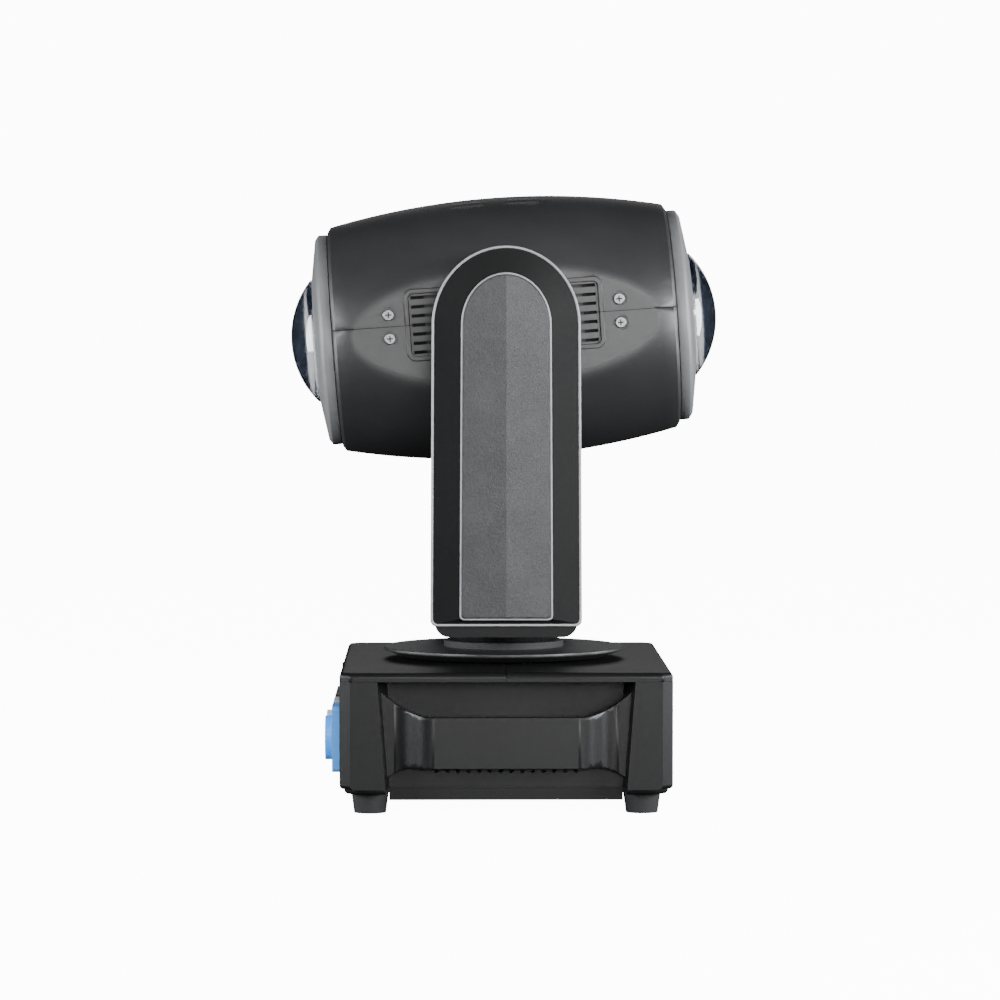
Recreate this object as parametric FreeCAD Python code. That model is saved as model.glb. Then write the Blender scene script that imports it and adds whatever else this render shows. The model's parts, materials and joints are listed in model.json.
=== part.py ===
import FreeCAD, Part
import math
import os

# Double-faced moving head light.
# Millimetres. +Z up, +X towards the display side, -X towards the connectors, the two yoke arms at -Y and +Y.
# The origin is the pan axis where it meets the surface that the feet stand on.
# "Right" is the -Y side and "left" is the +Y side, as seen by someone who faces along +X.

# ---- Driving dimensions -------------------------------------------------------------------------------

# General clearances
seam_gap = 0.3          # between separate pieces that meet at a visible line
slip_fit = 0.05         # radial clearance of a shaft that turns or a rod that slides
air_gap = 1.0           # between a moving piece and one that stays

# Base box
base_half_x = 77.5
base_half_y = 98.0
base_wall = 2.5
base_bottom = 9.6       # underside of the base tray, which is also the height of the feet
floor_thickness = 2.4
tray_round = 2.2
tray_inset = 2.2
skirt_drop = 3.6        # of the stiffening rim below the tray
skirt_set_in = 5.5      # of that rim from the corner posts
lower_edge_round = 2.0  # of the posts and end panels
top_line = 62.3         # where the top cover meets the side panels
top_cover_depth = 4.2
top_edge_round = 2.4
corner_bevel = 5.0

# Corner posts, finger recess and handle bar
post_width = 17.5
recess_depth = 32.0
recess_draw = 4.0       # how far the recess narrows towards its back
recess_taper = 4.0      # how far it narrows from the top line down to the tray
sill_set_back = 14.0    # from the post face to the lower wall
sill_top = 25.0
handle_thickness = 6.0
handle_set_back = 1.5   # of the bar's middle behind the post face
handle_end_set_back = 7.5
handle_flat_half = 33.5
handle_bend_end = 52.0  # where the bar has reached its end set-back
handle_arch_half = 43.0 # half length of the straight part of the bar's lower edge
handle_top_middle = 45.6
handle_top_end = 59.0
handle_bottom_middle = 21.6
handle_bottom_end = 12.9
sill_vent_count = 14
sill_vent_pitch = 5.0
sill_vent_radius = 1.1
sill_vent_height = 19.8

# Feet and mounting holes
foot_inset_x = 14.0      # of the feet's centres from the sides of the base
foot_inset_y = 18.0
foot_radius_bottom = 7.5
foot_radius_top = 8.8
lock_hole_radius = 4.1
lock_hole_inset = 9.5
lock_hole_y = 45.0
safety_hole_radius = 5.5
safety_hole_inset = 10.5
base_screw_length = 9.0
base_screw_set_in = 3.0

# Front panel
window_y = -18.0
window_half_y = 27.0
window_half_z = 16.0
window_fit = 0.1
screen_inset = 2.0
panel_mid_z = 37.0
button_radius = 4.0
button_pitch_y = 17.0
button_pitch_z = 18.0
button_mid_y = 33.0
button_length = 6.0
button_collar = 1.2

# Rear panel connectors
flange_half_y = 13.0
flange_half_z = 15.6
flange_thickness = 4.4
connector_radius = 10.6
connector_stand_out = 7.8
connector_depth = 22.0
connector_pitch = 31.0
connector_z = 32.0
socket_depth = 18.0
fuse_radius = 5.5
fuse_z = 55.2
fuse_y = 31.0
fuse_cap = 1.5

socket_well = 8.6
socket_core = 5.2
socket_key_half = 1.6
socket_key_reach = 9.6
latch_half = 3.2
latch_depth = 3.0
latch_top = 12.0
contact_ring = 3.2
contact_half_y = 0.5
contact_half_z = 1.2
contact_depth = 8.0
data_well = 8.3
data_pole_ring = 4.4
data_pin_radius = 1.2
data_hole_radius = 1.4
data_groove = 9.4
flange_corner = 2.0
fuse_rim = 0.9
fuse_length = 24.0
fuse_slot_half_y = 4.5
fuse_slot_half_z = 0.6

# Electronics in the base
supply_half_x = 46.0
supply_height = 30.0
supply_clear = 3.0
supply_slot_count = 8
supply_slot_pitch = 10.0
supply_slot_half = 2.0
supply_slot_margin = 4.5
board_set_in = 14.0
board_thickness = 1.6
board_y = (-48.0, 50.0)
board_foot_y = (-40.0, 42.0)
board_foot_half = 3.0
board_lift = 2.0
board_head_room = 4.0
chip_box = ((-12.0, 4.0), (30.0, 46.0))
relay_box = ((8.0, 18.0), (18.0, 30.0))
chip_thickness = 2.0
relay_thickness = 4.4

# Pan drive
shaft_radius = 18.0
shaft_bore = 12.0
shaft_bottom = 15.0
bearing_sleeve = 5.0
bearing_flange = 11.0
bearing_top = 44.0
pan_pulley_radius = 28.0
pulley_gap = 2.0        # between a pulley and the bearing or motor face beside it
pulley_height = 9.0
pulley_flange = 1.6
pan_motor_clear = 9.0   # of the motor's axis from the bearing flange, along X and along Y
pan_motor_side = 35.0
motor_pulley_radius = 7.0
motor_shaft_radius = 2.5
belt_thickness = 1.4
belt_width = 6.0

# Neck and pan disc
disc_radius = 58.0
disc_gap = 0.9
disc_thickness = 4.6
disc_taper = 9.0
disc_edge = 1.6
neck_radius = 25.75
seal_width = 3.25
seal_height = 3.0

# Yoke arms
tilt_height = 226.2     # height of the tilt axis
arm_half_width_top = 34.6
arm_half_width_bottom = 35.3
arch_lift = 1.1         # of the arch's centre above the tilt axis
arch_rise = 37.0
arm_cover_bottom = 87.3
arm_core_bottom = 82.1
arm_core_inset = 2.0
arm_core_corner = 7.0
head_gap = 3.0          # between the head's flat sides and the arms
arm_shell_depth = 17.5
arm_cover_depth = 11.8
band_rise = 2.2
panel_rise = 1.4
arm_wall = 2.2
rim_width = 1.4
band_width_side = 14.2
band_width_top = 13.1
panel_bottom = 91.0
panel_crease = 1.3
panel_edge_drop = 0.4
arm_screw_x = 27.6
arm_screw_low_z = 122.0
arm_screw_drop = 28.2    # of the upper arm screws below the tilt axis
arm_screw_length = 24.0

# Yoke cross member
cross_half_x = 31.0
cross_wall = 2.4
cross_corner = 9.0
frame_thickness = 2.5
frame_arm_half_x = 24.0

# Tilt drive
tilt_shaft_radius = 10.0
tilt_shaft_bore = 6.0
tilt_shaft_flange = 4.0
shaft_hole_gap = 2.0
tilt_bearing_ring = 6.0
tilt_bearing_width = 8.0
tilt_pulley_radius = 23.0
tilt_motor_side = 28.0
tilt_motor_length = 45.0
tilt_motor_pulley_radius = 8.0

# Head, in its own frame: u along the light, y across, w up, origin on the tilt axis
rest_tilt = 4.1         # the front lens points this many degrees above level
barrel_radius = 62.9
barrel_bow_radius = 368.0
barrel_half = 81.5
barrel_bevel = 1.5
head_wall = 2.5
flat_half = 55.5
flat_blend = 15.0
seam_height = 4.2
bezel_radius = 50.7
bezel_spigot = 45.8       # radius of the covers' end openings, which the bezel plugs into
bezel_rim = 4.4
bezel_cone = 4.7
bezel_spigot_length = 5.8
bezel_spigot_wall = 2.8
bezel_bevel = 2.4
lens_radius = 29.4
lens_curve = 44.0
lens_stand_out = 0.75    # of the dome's edge from the bezel's lip
lens_flange = 2.1
lens_seat_depth = 4.2
lens_flange_thickness = 2.4

# Side grilles
grille_inner_u = 22.0
grille_outer_u = 47.0
grille_half_height = 17.0
grille_rim = 2.4
grille_proud = 1.2
grille_corner = 4.5
grille_round = 0.45
louvre_margin = 3.4
louvre_count = 7
louvre_pitch = 4.3
louvre_gap = 1.5

# Top vents
vent_centre_u = 13.3
vent_length = 17.0
vent_width = 2.6
vent_angles = (-20.0, -12.0, -4.0, 4.0, 12.0, 20.0)

# Cover screws
cover_screw_u = 54.5
cover_screw_offset = 5.6
screw_head_radius = 2.75
screw_head_height = 1.4
screw_recess_radius = 3.7
screw_recess_depth = 1.3
screw_shank_radius = 1.4
screw_boss_radius = 3.5
screw_boss_depth = 6.5

# Head chassis and what it carries
chassis_y = 48.0
chassis_plate = 2.5
chassis_half_w = 25.0
chassis_front = 50.0
chassis_rear = -38.5
bulkhead_hole = 18.0
sink_half_u = 21.0
sink_half_w = 25.0
sink_core = 7.0
fin_pitch = 6.0
fin_gap = 3.4
led_board_half = 20.0
led_board_thickness = 2.0
collimator_radius = 17.0
collimator_mouth = 12.0
collimator_length = 10.0
fan_half = 25.0
fan_height = 12.0
fan_bore = 23.5
fan_hub = 9.0
fan_blades = 7
wheel_radius = 26.0
wheel_thickness = 1.2
wheel_offset = 19.0
wheel_aperture = 5.5
wheel_aperture_count = 8
wheel_shaft_radius = 1.5
colour_wheel_u = 42.0
gobo_wheel_u = 66.0
wheel_motor_side = 20.0
wheel_motor_length = 14.0
rod_radius = 2.0
rod_y = 34.0
carriage_u = 70.0
carriage_thickness = 5.0
carriage_lens_radius = 19.0

# ---- Derived sizes ------------------------------------------------------------------------------------

# Base
floor_top = base_bottom + floor_thickness
base_top = top_line + top_cover_depth
post_inner_x = base_half_x - post_width
recess_back = base_half_y - recess_depth
inner_half_y = recess_back - base_wall
inner_half_x = base_half_x - base_wall
sill_y = base_half_y - sill_set_back
foot_x = base_half_x - foot_inset_x
foot_y = base_half_y - foot_inset_y
lock_hole_x = base_half_x - lock_hole_inset
safety_hole_x = safety_hole_inset - base_half_x
base_screw_x = post_inner_x - 0.5
base_screw_y = recess_back + base_screw_set_in
skirt_half_x = post_inner_x - skirt_set_in

# Pan drive and neck
bearing_radius = shaft_radius + bearing_sleeve
bearing_flange_radius = shaft_radius + bearing_flange
pan_motor_x = bearing_flange_radius + pan_motor_clear
pan_motor_y = -pan_motor_x
supply_inner_y = bearing_flange_radius + supply_clear
pan_pulley_bottom = bearing_top + pulley_gap
pan_belt_low = pan_pulley_bottom + 0.5 * (pulley_height - belt_width)
disc_bottom = base_top + disc_gap
disc_top = disc_bottom + disc_thickness
neck_bottom = disc_top
seal_radius = neck_radius + seal_width

# Yoke
arch_centre_z = tilt_height + arch_lift
arm_inner_y = flat_half + head_gap
arm_split_y = arm_inner_y + arm_shell_depth
arm_face_y = arm_split_y + arm_cover_depth
arm_band_y = arm_face_y + band_rise
arm_panel_y = arm_band_y + panel_rise
arm_screw_high_z = tilt_height - arm_screw_drop
frame_arm_y = arm_inner_y + arm_wall + seam_gap
frame_floor = arm_core_bottom + cross_wall + seam_gap + 0.1
tilt_motor_z = frame_floor + frame_thickness + 0.5 * tilt_motor_side + 0.2
cross_top = tilt_motor_z + 0.5 * tilt_motor_side + air_gap + cross_wall + 0.1
shaft_hole_radius = tilt_shaft_radius + shaft_hole_gap
tilt_bearing_radius = tilt_shaft_radius + tilt_bearing_ring
tilt_pulley_y = frame_arm_y + tilt_bearing_width + pulley_gap
tilt_shaft_end = tilt_pulley_y + pulley_height + pulley_gap
tilt_belt_low = tilt_pulley_y + 0.5 * (pulley_height - belt_width)

# Head
bezel_start = barrel_half + seam_gap
bezel_shoulder = bezel_start + bezel_rim
bezel_lip = bezel_shoulder + bezel_cone
lens_back = bezel_start + lens_seat_depth
lens_flange_radius = lens_radius + lens_flange
lens_edge_u = bezel_lip + lens_stand_out
lens_centre_u = lens_edge_u - math.sqrt(lens_curve ** 2 - lens_radius ** 2)
rod_end = lens_back - 2.5
screw_heights = (seam_height - cover_screw_offset, seam_height + cover_screw_offset)

X_AXIS = FreeCAD.Vector(1, 0, 0)
Y_AXIS = FreeCAD.Vector(0, 1, 0)
Z_AXIS = FreeCAD.Vector(0, 0, 1)
ORIGIN = FreeCAD.Vector(0, 0, 0)


# ---- Shape helpers ------------------------------------------------------------------------------------

def vec(x, y, z):
    return FreeCAD.Vector(x, y, z)


def box(x0, x1, y0, y1, z0, z1):
    return Part.makeBox(x1 - x0, y1 - y0, z1 - z0, vec(x0, y0, z0))


def rod(radius, start, length, direction):
    return Part.makeCylinder(radius, length, start, direction)


def tube(outer, inner, start, length, direction):
    return rod(outer, start, length, direction).cut(rod(inner, start, length, direction))


def joined(shapes):
    whole = shapes[0]
    if len(shapes) > 1:
        whole = whole.multiFuse(shapes[1:])
    return whole.removeSplitter()


def group(shapes):
    return Part.makeCompound(shapes)


def prism(points, direction):
    """Solid swept from a closed flat outline of points along a vector."""
    outline = Part.makePolygon(list(points) + [points[0]])
    return Part.Face(outline).extrude(direction)


def slanted(low, high):
    """Solid between two flat outlines with the same corners, one above the other."""
    rings = [low, high]
    for index in range(len(low)):
        rings.append([low[index - 1], low[index], high[index], high[index - 1]])
    faces = [Part.Face(Part.makePolygon(ring + [ring[0]])) for ring in rings]
    solid = Part.Solid(Part.Shell(faces))
    return solid if solid.Volume > 0 else solid.reversed()


def turned(profile, axis):
    """Solid of revolution about an axis through the origin."""
    outline = Part.makePolygon(list(profile) + [profile[0]])
    return Part.Face(outline).revolve(ORIGIN, axis, 360)


def across_y(shape):
    """The same piece on the other side of the Y = 0 plane."""
    return shape.mirror(ORIGIN, Y_AXIS)


def across_x(shape):
    return shape.mirror(ORIGIN, X_AXIS)


def both_y(shape):
    return [shape, across_y(shape)]


def edges_where(shape, test):
    return [edge for edge in shape.Edges if test(edge)]


def is_along(edge, direction):
    """True for a straight edge that runs along the direction."""
    if edge.Curve.TypeId != "Part::GeomLine":
        return False
    span = edge.Vertexes[-1].Point.sub(edge.Vertexes[0].Point)
    return abs(abs(span.normalize().dot(direction)) - 1.0) < 1e-6


# ---- Base ---------------------------------------------------------------------------------------------

def base_outline(inset, height):
    """Plan of the base: a rectangle with bevelled corners."""
    x = base_half_x - inset
    y = base_half_y - inset
    c = corner_bevel
    corners = [(x - c, -y), (x, c - y), (x, y - c), (x - c, y),
               (c - x, y), (-x, y - c), (-x, c - y), (c - x, -y)]
    return [vec(px, py, height) for px, py in corners]


def base_tray():
    """Steel plate with rounded lower edges, notched under the handle bars, and a stiffening rim below it."""
    block = prism(base_outline(tray_inset, base_bottom), vec(0, 0, floor_thickness))
    edges = edges_where(block, lambda edge: edge.BoundBox.ZMax < base_bottom + 0.1)
    plate = block.makeFillet(tray_round, edges)
    notch_x = post_inner_x - recess_taper
    notch = box(-notch_x, notch_x, -base_half_y - 1, -sill_y, base_bottom - 1, floor_top + 1)
    low = base_bottom - skirt_drop
    rim = box(-skirt_half_x, skirt_half_x, -sill_y, sill_y, low, base_bottom + 0.1)
    inner_x = skirt_half_x - base_wall
    inner_y = sill_y - base_wall
    rim = rim.cut(box(-inner_x, inner_x, -inner_y, inner_y, low - 1, base_bottom + 1))
    holes = [rod(lock_hole_radius, vec(x, y, base_bottom - 1), floor_thickness + 2, Z_AXIS)
             for x in (-lock_hole_x, lock_hole_x) for y in (-lock_hole_y, lock_hole_y)]
    return joined([plate.cut(group(both_y(notch))), rim]).cut(group(holes + [safety_hole(), base_screws()]))


def safety_hole():
    return rod(safety_hole_radius, vec(safety_hole_x, 0, base_bottom - 1), floor_thickness + 2, Z_AXIS)


def rubber_feet():
    feet = []
    for x in (-foot_x, foot_x):
        for y in (-foot_y, foot_y):
            foot = Part.makeCone(foot_radius_bottom, foot_radius_top, base_bottom, vec(x, y, 0))
            feet.append(foot)
    return group(feet)


def base_cover(side):
    """Half of the base's top cover, on the +X side for 1 and the -X side for -1."""
    depth = base_top - top_line
    slab = prism(base_outline(0, top_line), vec(0, 0, depth))
    edges = edges_where(slab, lambda edge: edge.BoundBox.ZMin > base_top - 0.1 or is_along(edge, Z_AXIS))
    slab = slab.makeFillet(top_edge_round, edges)
    pocket_depth = depth - base_wall
    pocket = prism(base_outline(top_edge_round + 1.0, top_line), vec(0, 0, pocket_depth))
    opening = rod(seal_radius + air_gap, vec(0, 0, top_line - 1), depth + 2, Z_AXIS)
    half = box(seam_gap / 2, base_half_x + 1, -base_half_y - 1, base_half_y + 1, top_line, base_top + 1)
    cover = slab.cut(group([pocket, opening])).common(half)
    return cover if side > 0 else across_x(cover)


def finger_recess():
    """Space behind and around the handle bar at -Y: it narrows towards its back and towards the tray."""
    rings = []
    for height, taper in ((base_bottom, recess_taper), (top_line + 1, 0)):
        front_x = post_inner_x - taper
        back_x = front_x - recess_draw
        front_y = -base_half_y - 1
        rings.append([vec(-front_x, front_y, height), vec(front_x, front_y, height),
                      vec(back_x, -recess_back, height), vec(-back_x, -recess_back, height)])
    return slanted(rings[0], rings[1])


def is_lower_outer(edge):
    """True for the bottom edges at the sides that face +X and -X, and at the bevelled corners."""
    middle = edge.BoundBox.Center
    return edge.BoundBox.ZMax < floor_top + 0.2 and abs(middle.x) > base_half_x - corner_bevel


def side_panel():
    """Panel at -Y: two hollow corner posts, the back wall of the finger recess and the lower wall."""
    low = floor_top + 0.1
    high = top_line - 0.1
    height = high - low
    block = prism(base_outline(0, low), vec(0, 0, height))
    block = block.common(box(-base_half_x, base_half_x, -base_half_y, -inner_half_y, low, high))
    block = block.makeFillet(lower_edge_round, edges_where(block, is_lower_outer))
    body = block.cut(finger_recess())
    hollows = []
    for sign in (-1, 1):
        inner_x = sign * (post_inner_x + base_wall)
        outer_x = sign * (base_half_x - base_wall)
        bevel_x = sign * (base_half_x - base_wall - corner_bevel)
        front = -base_half_y + base_wall
        pocket = [vec(inner_x, front, low), vec(bevel_x, front, low), vec(outer_x, front + corner_bevel, low),
                  vec(outer_x, -inner_half_y + 1, low), vec(inner_x, -inner_half_y + 1, low)]
        hollows.append(prism(pocket, vec(0, 0, height)))
    sill = box(-post_inner_x, post_inner_x, -sill_y, -recess_back, sill_top - base_wall, sill_top)
    wall = box(-post_inner_x, post_inner_x, -sill_y, -sill_y + base_wall, low, sill_top)
    sill = sill.common(finger_recess())
    wall = wall.common(finger_recess())
    vents = []
    for index in range(sill_vent_count):
        x = (index - (sill_vent_count - 1) / 2) * sill_vent_pitch
        vents.append(rod(sill_vent_radius, vec(x, -sill_y - 1, sill_vent_height), base_wall + 2, Y_AXIS))
    return joined([body.cut(group(hollows)), sill, wall]).cut(group(vents + [base_screws()]))


def handle_outline():
    """Front outline of the handle bar, seen along Y: arched top and bottom edges."""
    end_x = post_inner_x
    face_y = -base_half_y - 1
    edges = []
    arches = [(handle_flat_half, handle_top_middle, handle_top_end),
              (handle_arch_half, handle_bottom_middle, handle_bottom_end)]
    for flat, middle, end in arches:
        bend = 0.42 * (end_x - flat)
        for sign in (-1, 1):
            curve = Part.BezierCurve()
            curve.setPoles([vec(sign * flat, face_y, middle), vec(sign * (flat + bend), face_y, middle),
                            vec(sign * (end_x - 0.5 * bend), face_y, middle + 0.55 * (end - middle)),
                            vec(sign * end_x, face_y, end)])
            edges.append(curve.toShape())
        edges.append(Part.makeLine(vec(-flat, face_y, middle), vec(flat, face_y, middle)))
    for sign in (-1, 1):
        low = vec(sign * end_x, face_y, handle_bottom_end)
        high = vec(sign * end_x, face_y, handle_top_end)
        edges.append(Part.makeLine(low, high))
    return Part.Wire(Part.__sortEdges__(edges))


def handle():
    """Carrying bar at -Y: arched in front view, and bowed forward between its ends in plan."""
    ends = -base_half_y + handle_end_set_back
    middle = -base_half_y + handle_set_back
    end_x = post_inner_x
    turn = 0.5 * (handle_flat_half + handle_bend_end)
    plan = []
    for offset in (0, handle_thickness):
        middle_y = middle + offset
        end_y = ends + offset
        plan.append(Part.makeLine(vec(-handle_flat_half, middle_y, 0), vec(handle_flat_half, middle_y, 0)))
        for sign in (-1, 1):
            curve = Part.BezierCurve()
            curve.setPoles([vec(sign * handle_flat_half, middle_y, 0), vec(sign * turn, middle_y, 0),
                            vec(sign * turn, end_y, 0), vec(sign * handle_bend_end, end_y, 0)])
            plan.append(curve.toShape())
            plan.append(Part.makeLine(vec(sign * handle_bend_end, end_y, 0), vec(sign * end_x, end_y, 0)))
    for sign in (-1, 1):
        plan.append(Part.makeLine(vec(sign * end_x, ends, 0), vec(sign * end_x, ends + handle_thickness, 0)))
    band = Part.Face(Part.Wire(Part.__sortEdges__(plan))).extrude(vec(0, 0, top_line))
    sheet = Part.Face(handle_outline()).extrude(vec(0, recess_depth, 0))
    bar = band.common(sheet)
    return bar.common(finger_recess())


def panel_blank(x0, x1):
    half_y = inner_half_y - seam_gap
    blank = box(x0, x1, -half_y, half_y, floor_top + 0.1, top_line - 0.1)
    edges = edges_where(blank, lambda edge: is_lower_outer(edge) and is_outermost(edge))
    return blank.makeFillet(lower_edge_round, edges)


def is_outermost(edge):
    """True for an edge that lies in the base's +X or -X side."""
    extent = edge.BoundBox
    return min(abs(extent.XMin), abs(extent.XMax)) > base_half_x - 0.1


def button_places():
    """Centres of the four buttons on the front panel, as name, y and z."""
    low_y = button_mid_y - button_pitch_y / 2
    high_y = button_mid_y + button_pitch_y / 2
    low_z = panel_mid_z - button_pitch_z / 2
    high_z = panel_mid_z + button_pitch_z / 2
    return [("menu_button", low_y, high_z), ("up_button", high_y, high_z),
            ("enter_button", low_y, low_z), ("down_button", high_y, low_z)]


def front_panel():
    panel = panel_blank(inner_half_x, base_half_x)
    cuts = [box(inner_half_x - 1, base_half_x + 1, window_y - window_half_y, window_y + window_half_y,
                panel_mid_z - window_half_z, panel_mid_z + window_half_z)]
    for name, y, z in button_places():
        cuts.append(rod(button_radius + 0.3, vec(inner_half_x - 1, y, z), base_wall + 2, X_AXIS))
    return panel.cut(group(cuts))


def display_window():
    layers = []
    middle_x = inner_half_x + 0.5
    for x0, x1, inset in ((middle_x, base_half_x - 0.5, window_fit), (inner_half_x - 2.0, middle_x, screen_inset)):
        half_y = window_half_y - inset
        half_z = window_half_z - inset
        layers.append(box(x0, x1, window_y - half_y, window_y + half_y,
                          panel_mid_z - half_z, panel_mid_z + half_z))
    return joined(layers)


def button(y, z):
    """Push button: a domed cap with a collar behind the panel that keeps it in."""
    cap_x = inner_half_x - button_collar - 0.2
    cap = rod(button_radius, vec(cap_x, y, z), button_length, X_AXIS)
    rim = edges_where(cap, lambda edge: edge.BoundBox.XMin > cap_x + button_length - 0.1)
    cap = cap.makeFillet(0.8, rim)
    collar = rod(button_radius + 1.2, vec(cap_x, y, z), button_collar, X_AXIS)
    return joined([cap, collar])


def connector_y(place):
    return (place - 1.5) * connector_pitch


def rear_panel():
    panel = panel_blank(-base_half_x, -inner_half_x)
    cuts = []
    for place in range(4):
        start = vec(-base_half_x - 1, connector_y(place), connector_z)
        cuts.append(rod(connector_radius + 0.4, start, base_wall + 2, X_AXIS))
    cuts.append(rod(fuse_radius + 0.2, vec(-base_half_x - 1, fuse_y, fuse_z), base_wall + 2, X_AXIS))
    return panel.cut(group(cuts))


def flange(place, stand_out):
    """Square flange on the panel, with a round collar that stands out and a round body behind."""
    y = connector_y(place)
    low_z = connector_z - flange_half_z
    high_z = connector_z + flange_half_z
    face_x = -base_half_x - flange_thickness
    plate = box(face_x, -base_half_x, y - flange_half_y, y + flange_half_y, low_z, high_z)
    corners = edges_where(plate, lambda edge: is_along(edge, X_AXIS))
    plate = plate.makeFillet(flange_corner, corners)
    length = connector_depth + flange_thickness
    body = rod(connector_radius, vec(face_x, y, connector_z), length, X_AXIS)
    collar_start = vec(-base_half_x - stand_out, y, connector_z)
    collar = rod(connector_radius, collar_start, stand_out - flange_thickness + 0.5, X_AXIS)
    return joined([plate, body, collar])


def round_places(y, ring, first_angle):
    """Three places on a circle about a connector's axis, as y and z."""
    places = []
    for step in range(3):
        turn = math.radians(first_angle + 120 * step)
        places.append((y + ring * math.cos(turn), connector_z + ring * math.sin(turn)))
    return places


def power_socket(place):
    """Locking power connector: an annular well with a keyed centre core, and a latch notch at the top."""
    y = connector_y(place)
    face = -base_half_x - connector_stand_out
    end = face + socket_depth - 1
    well = tube(socket_well, socket_core, vec(face - 1, y, connector_z), socket_depth, X_AXIS)
    key = box(face - 1, end, y - socket_key_reach, y - socket_well + 0.6,
              connector_z - socket_key_half, connector_z + socket_key_half)
    latch = box(face - 1, face + latch_depth, y - latch_half, y + latch_half,
                connector_z + socket_well - 0.6, connector_z + latch_top)
    cuts = [well, key, latch]
    for slot_y, slot_z in round_places(y, contact_ring, 90):
        cuts.append(box(face - 1, face + contact_depth, slot_y - contact_half_y, slot_y + contact_half_y,
                        slot_z - contact_half_z, slot_z + contact_half_z))
    return flange(place, connector_stand_out).cut(group(cuts))


def data_connector(place, with_pins):
    """Three-pole data connector: a deep round well with pins, or a face with three holes."""
    y = connector_y(place)
    stand_out = flange_thickness + 1.0
    face = -base_half_x - stand_out
    body = flange(place, stand_out)
    poles = round_places(y, data_pole_ring, 30)
    if with_pins:
        well = rod(data_well, vec(face - 1, y, connector_z), socket_depth - 4, X_AXIS)
        pins = []
        for pole_y, pole_z in poles:
            pins.append(rod(data_pin_radius, vec(face + 2, pole_y, pole_z), socket_depth - 6, X_AXIS))
        return joined([body.cut(well)] + pins)
    groove = tube(data_groove, data_well - 0.3, vec(face - 1, y, connector_z), contact_depth, X_AXIS)
    cuts = [groove]
    for pole_y, pole_z in poles:
        cuts.append(rod(data_hole_radius, vec(face - 1, pole_y, pole_z), socket_depth, X_AXIS))
    return body.cut(group(cuts))


def fuse_holder():
    face = -base_half_x - fuse_cap
    start = vec(face, fuse_y, fuse_z)
    cap = rod(fuse_radius + fuse_rim, start, fuse_cap, X_AXIS)
    barrel = rod(fuse_radius, start, fuse_length, X_AXIS)
    slot = box(face - 1, -base_half_x - 0.5, fuse_y - fuse_slot_half_y, fuse_y + fuse_slot_half_y,
               fuse_z - fuse_slot_half_z, fuse_z + fuse_slot_half_z)
    return joined([cap, barrel]).cut(slot)


def power_supply():
    """Sheet-metal supply box beside the pan bearing, with a row of vent slots in its top."""
    outer_y = inner_half_y - 1.5
    top = floor_top + supply_height
    case = box(-supply_half_x, supply_half_x, supply_inner_y, outer_y, floor_top, top)
    slots = []
    for index in range(supply_slot_count):
        x = (index - (supply_slot_count - 1) / 2) * supply_slot_pitch
        slots.append(box(x - supply_slot_half, x + supply_slot_half,
                         supply_inner_y + supply_slot_margin, outer_y - supply_slot_margin, top - 1, top + 1))
    return case.cut(group(slots))


def control_board():
    """Circuit board behind the display, with a chip and a relay on it and two feet below."""
    back = inner_half_x - board_set_in
    front = back + board_thickness
    parts = [box(back, front, board_y[0], board_y[1], floor_top + board_lift, top_line - board_head_room)]
    for (y_span, z_span), thickness in ((chip_box, chip_thickness), (relay_box, relay_thickness)):
        parts.append(box(front, front + thickness, y_span[0], y_span[1], z_span[0], z_span[1]))
    for y in board_foot_y:
        parts.append(box(back, front, y - board_foot_half, y + board_foot_half,
                         floor_top, floor_top + board_lift))
    return joined(parts)


def base_screws():
    """Countersunk screws that hold the side panels to the base tray."""
    screws = []
    for x in (-base_screw_x, base_screw_x):
        for y in (-base_screw_y, base_screw_y):
            head = Part.makeCone(screw_head_radius, screw_shank_radius, screw_head_height,
                                 vec(x, y, base_bottom))
            shank = rod(screw_shank_radius, vec(x, y, base_bottom), base_screw_length, Z_AXIS)
            screws.append(joined([head, shank]))
    return group(screws)


# ---- Pan drive ----------------------------------------------------------------------------------------

def belt_loop(small_centre, large_centre, small_radius, large_radius, start, width, thickness):
    """Closed belt round two pulleys in the XY plane, from tangent runs and two arcs."""
    loops = []
    for grow in (thickness, 0):
        a = small_radius + grow
        b = large_radius + grow
        span = large_centre.sub(small_centre)
        lean = math.acos((b - a) / span.Length)
        heading = math.atan2(span.y, span.x)
        points = []
        for sign in (1, -1):
            direction = heading + math.pi - sign * lean
            away = vec(math.cos(direction), math.sin(direction), 0)
            points.append((small_centre + away * a, large_centre + away * b))
        forward = vec(math.cos(heading), math.sin(heading), 0)
        (small_1, large_1), (small_2, large_2) = points
        edges = [Part.makeLine(small_1, large_1), Part.makeLine(small_2, large_2),
                 Part.Arc(small_1, small_centre - forward * a, small_2).toShape(),
                 Part.Arc(large_1, large_centre + forward * b, large_2).toShape()]
        loops.append(Part.Face(Part.Wire(Part.__sortEdges__(edges))).extrude(vec(0, 0, width)))
    loop = loops[0].cut(loops[1])
    loop.translate(vec(0, 0, start))
    return loop


def pulley(radius, bore, height):
    """Flanged belt pulley, its axis along Z from the origin up."""
    rim = radius + pulley_flange
    lip = 1.0
    profile = [vec(bore, 0, 0), vec(rim, 0, 0), vec(rim, 0, lip), vec(radius, 0, lip),
               vec(radius, 0, height - lip), vec(rim, 0, height - lip), vec(rim, 0, height),
               vec(bore, 0, height)]
    return turned(profile, Z_AXIS)


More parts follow.
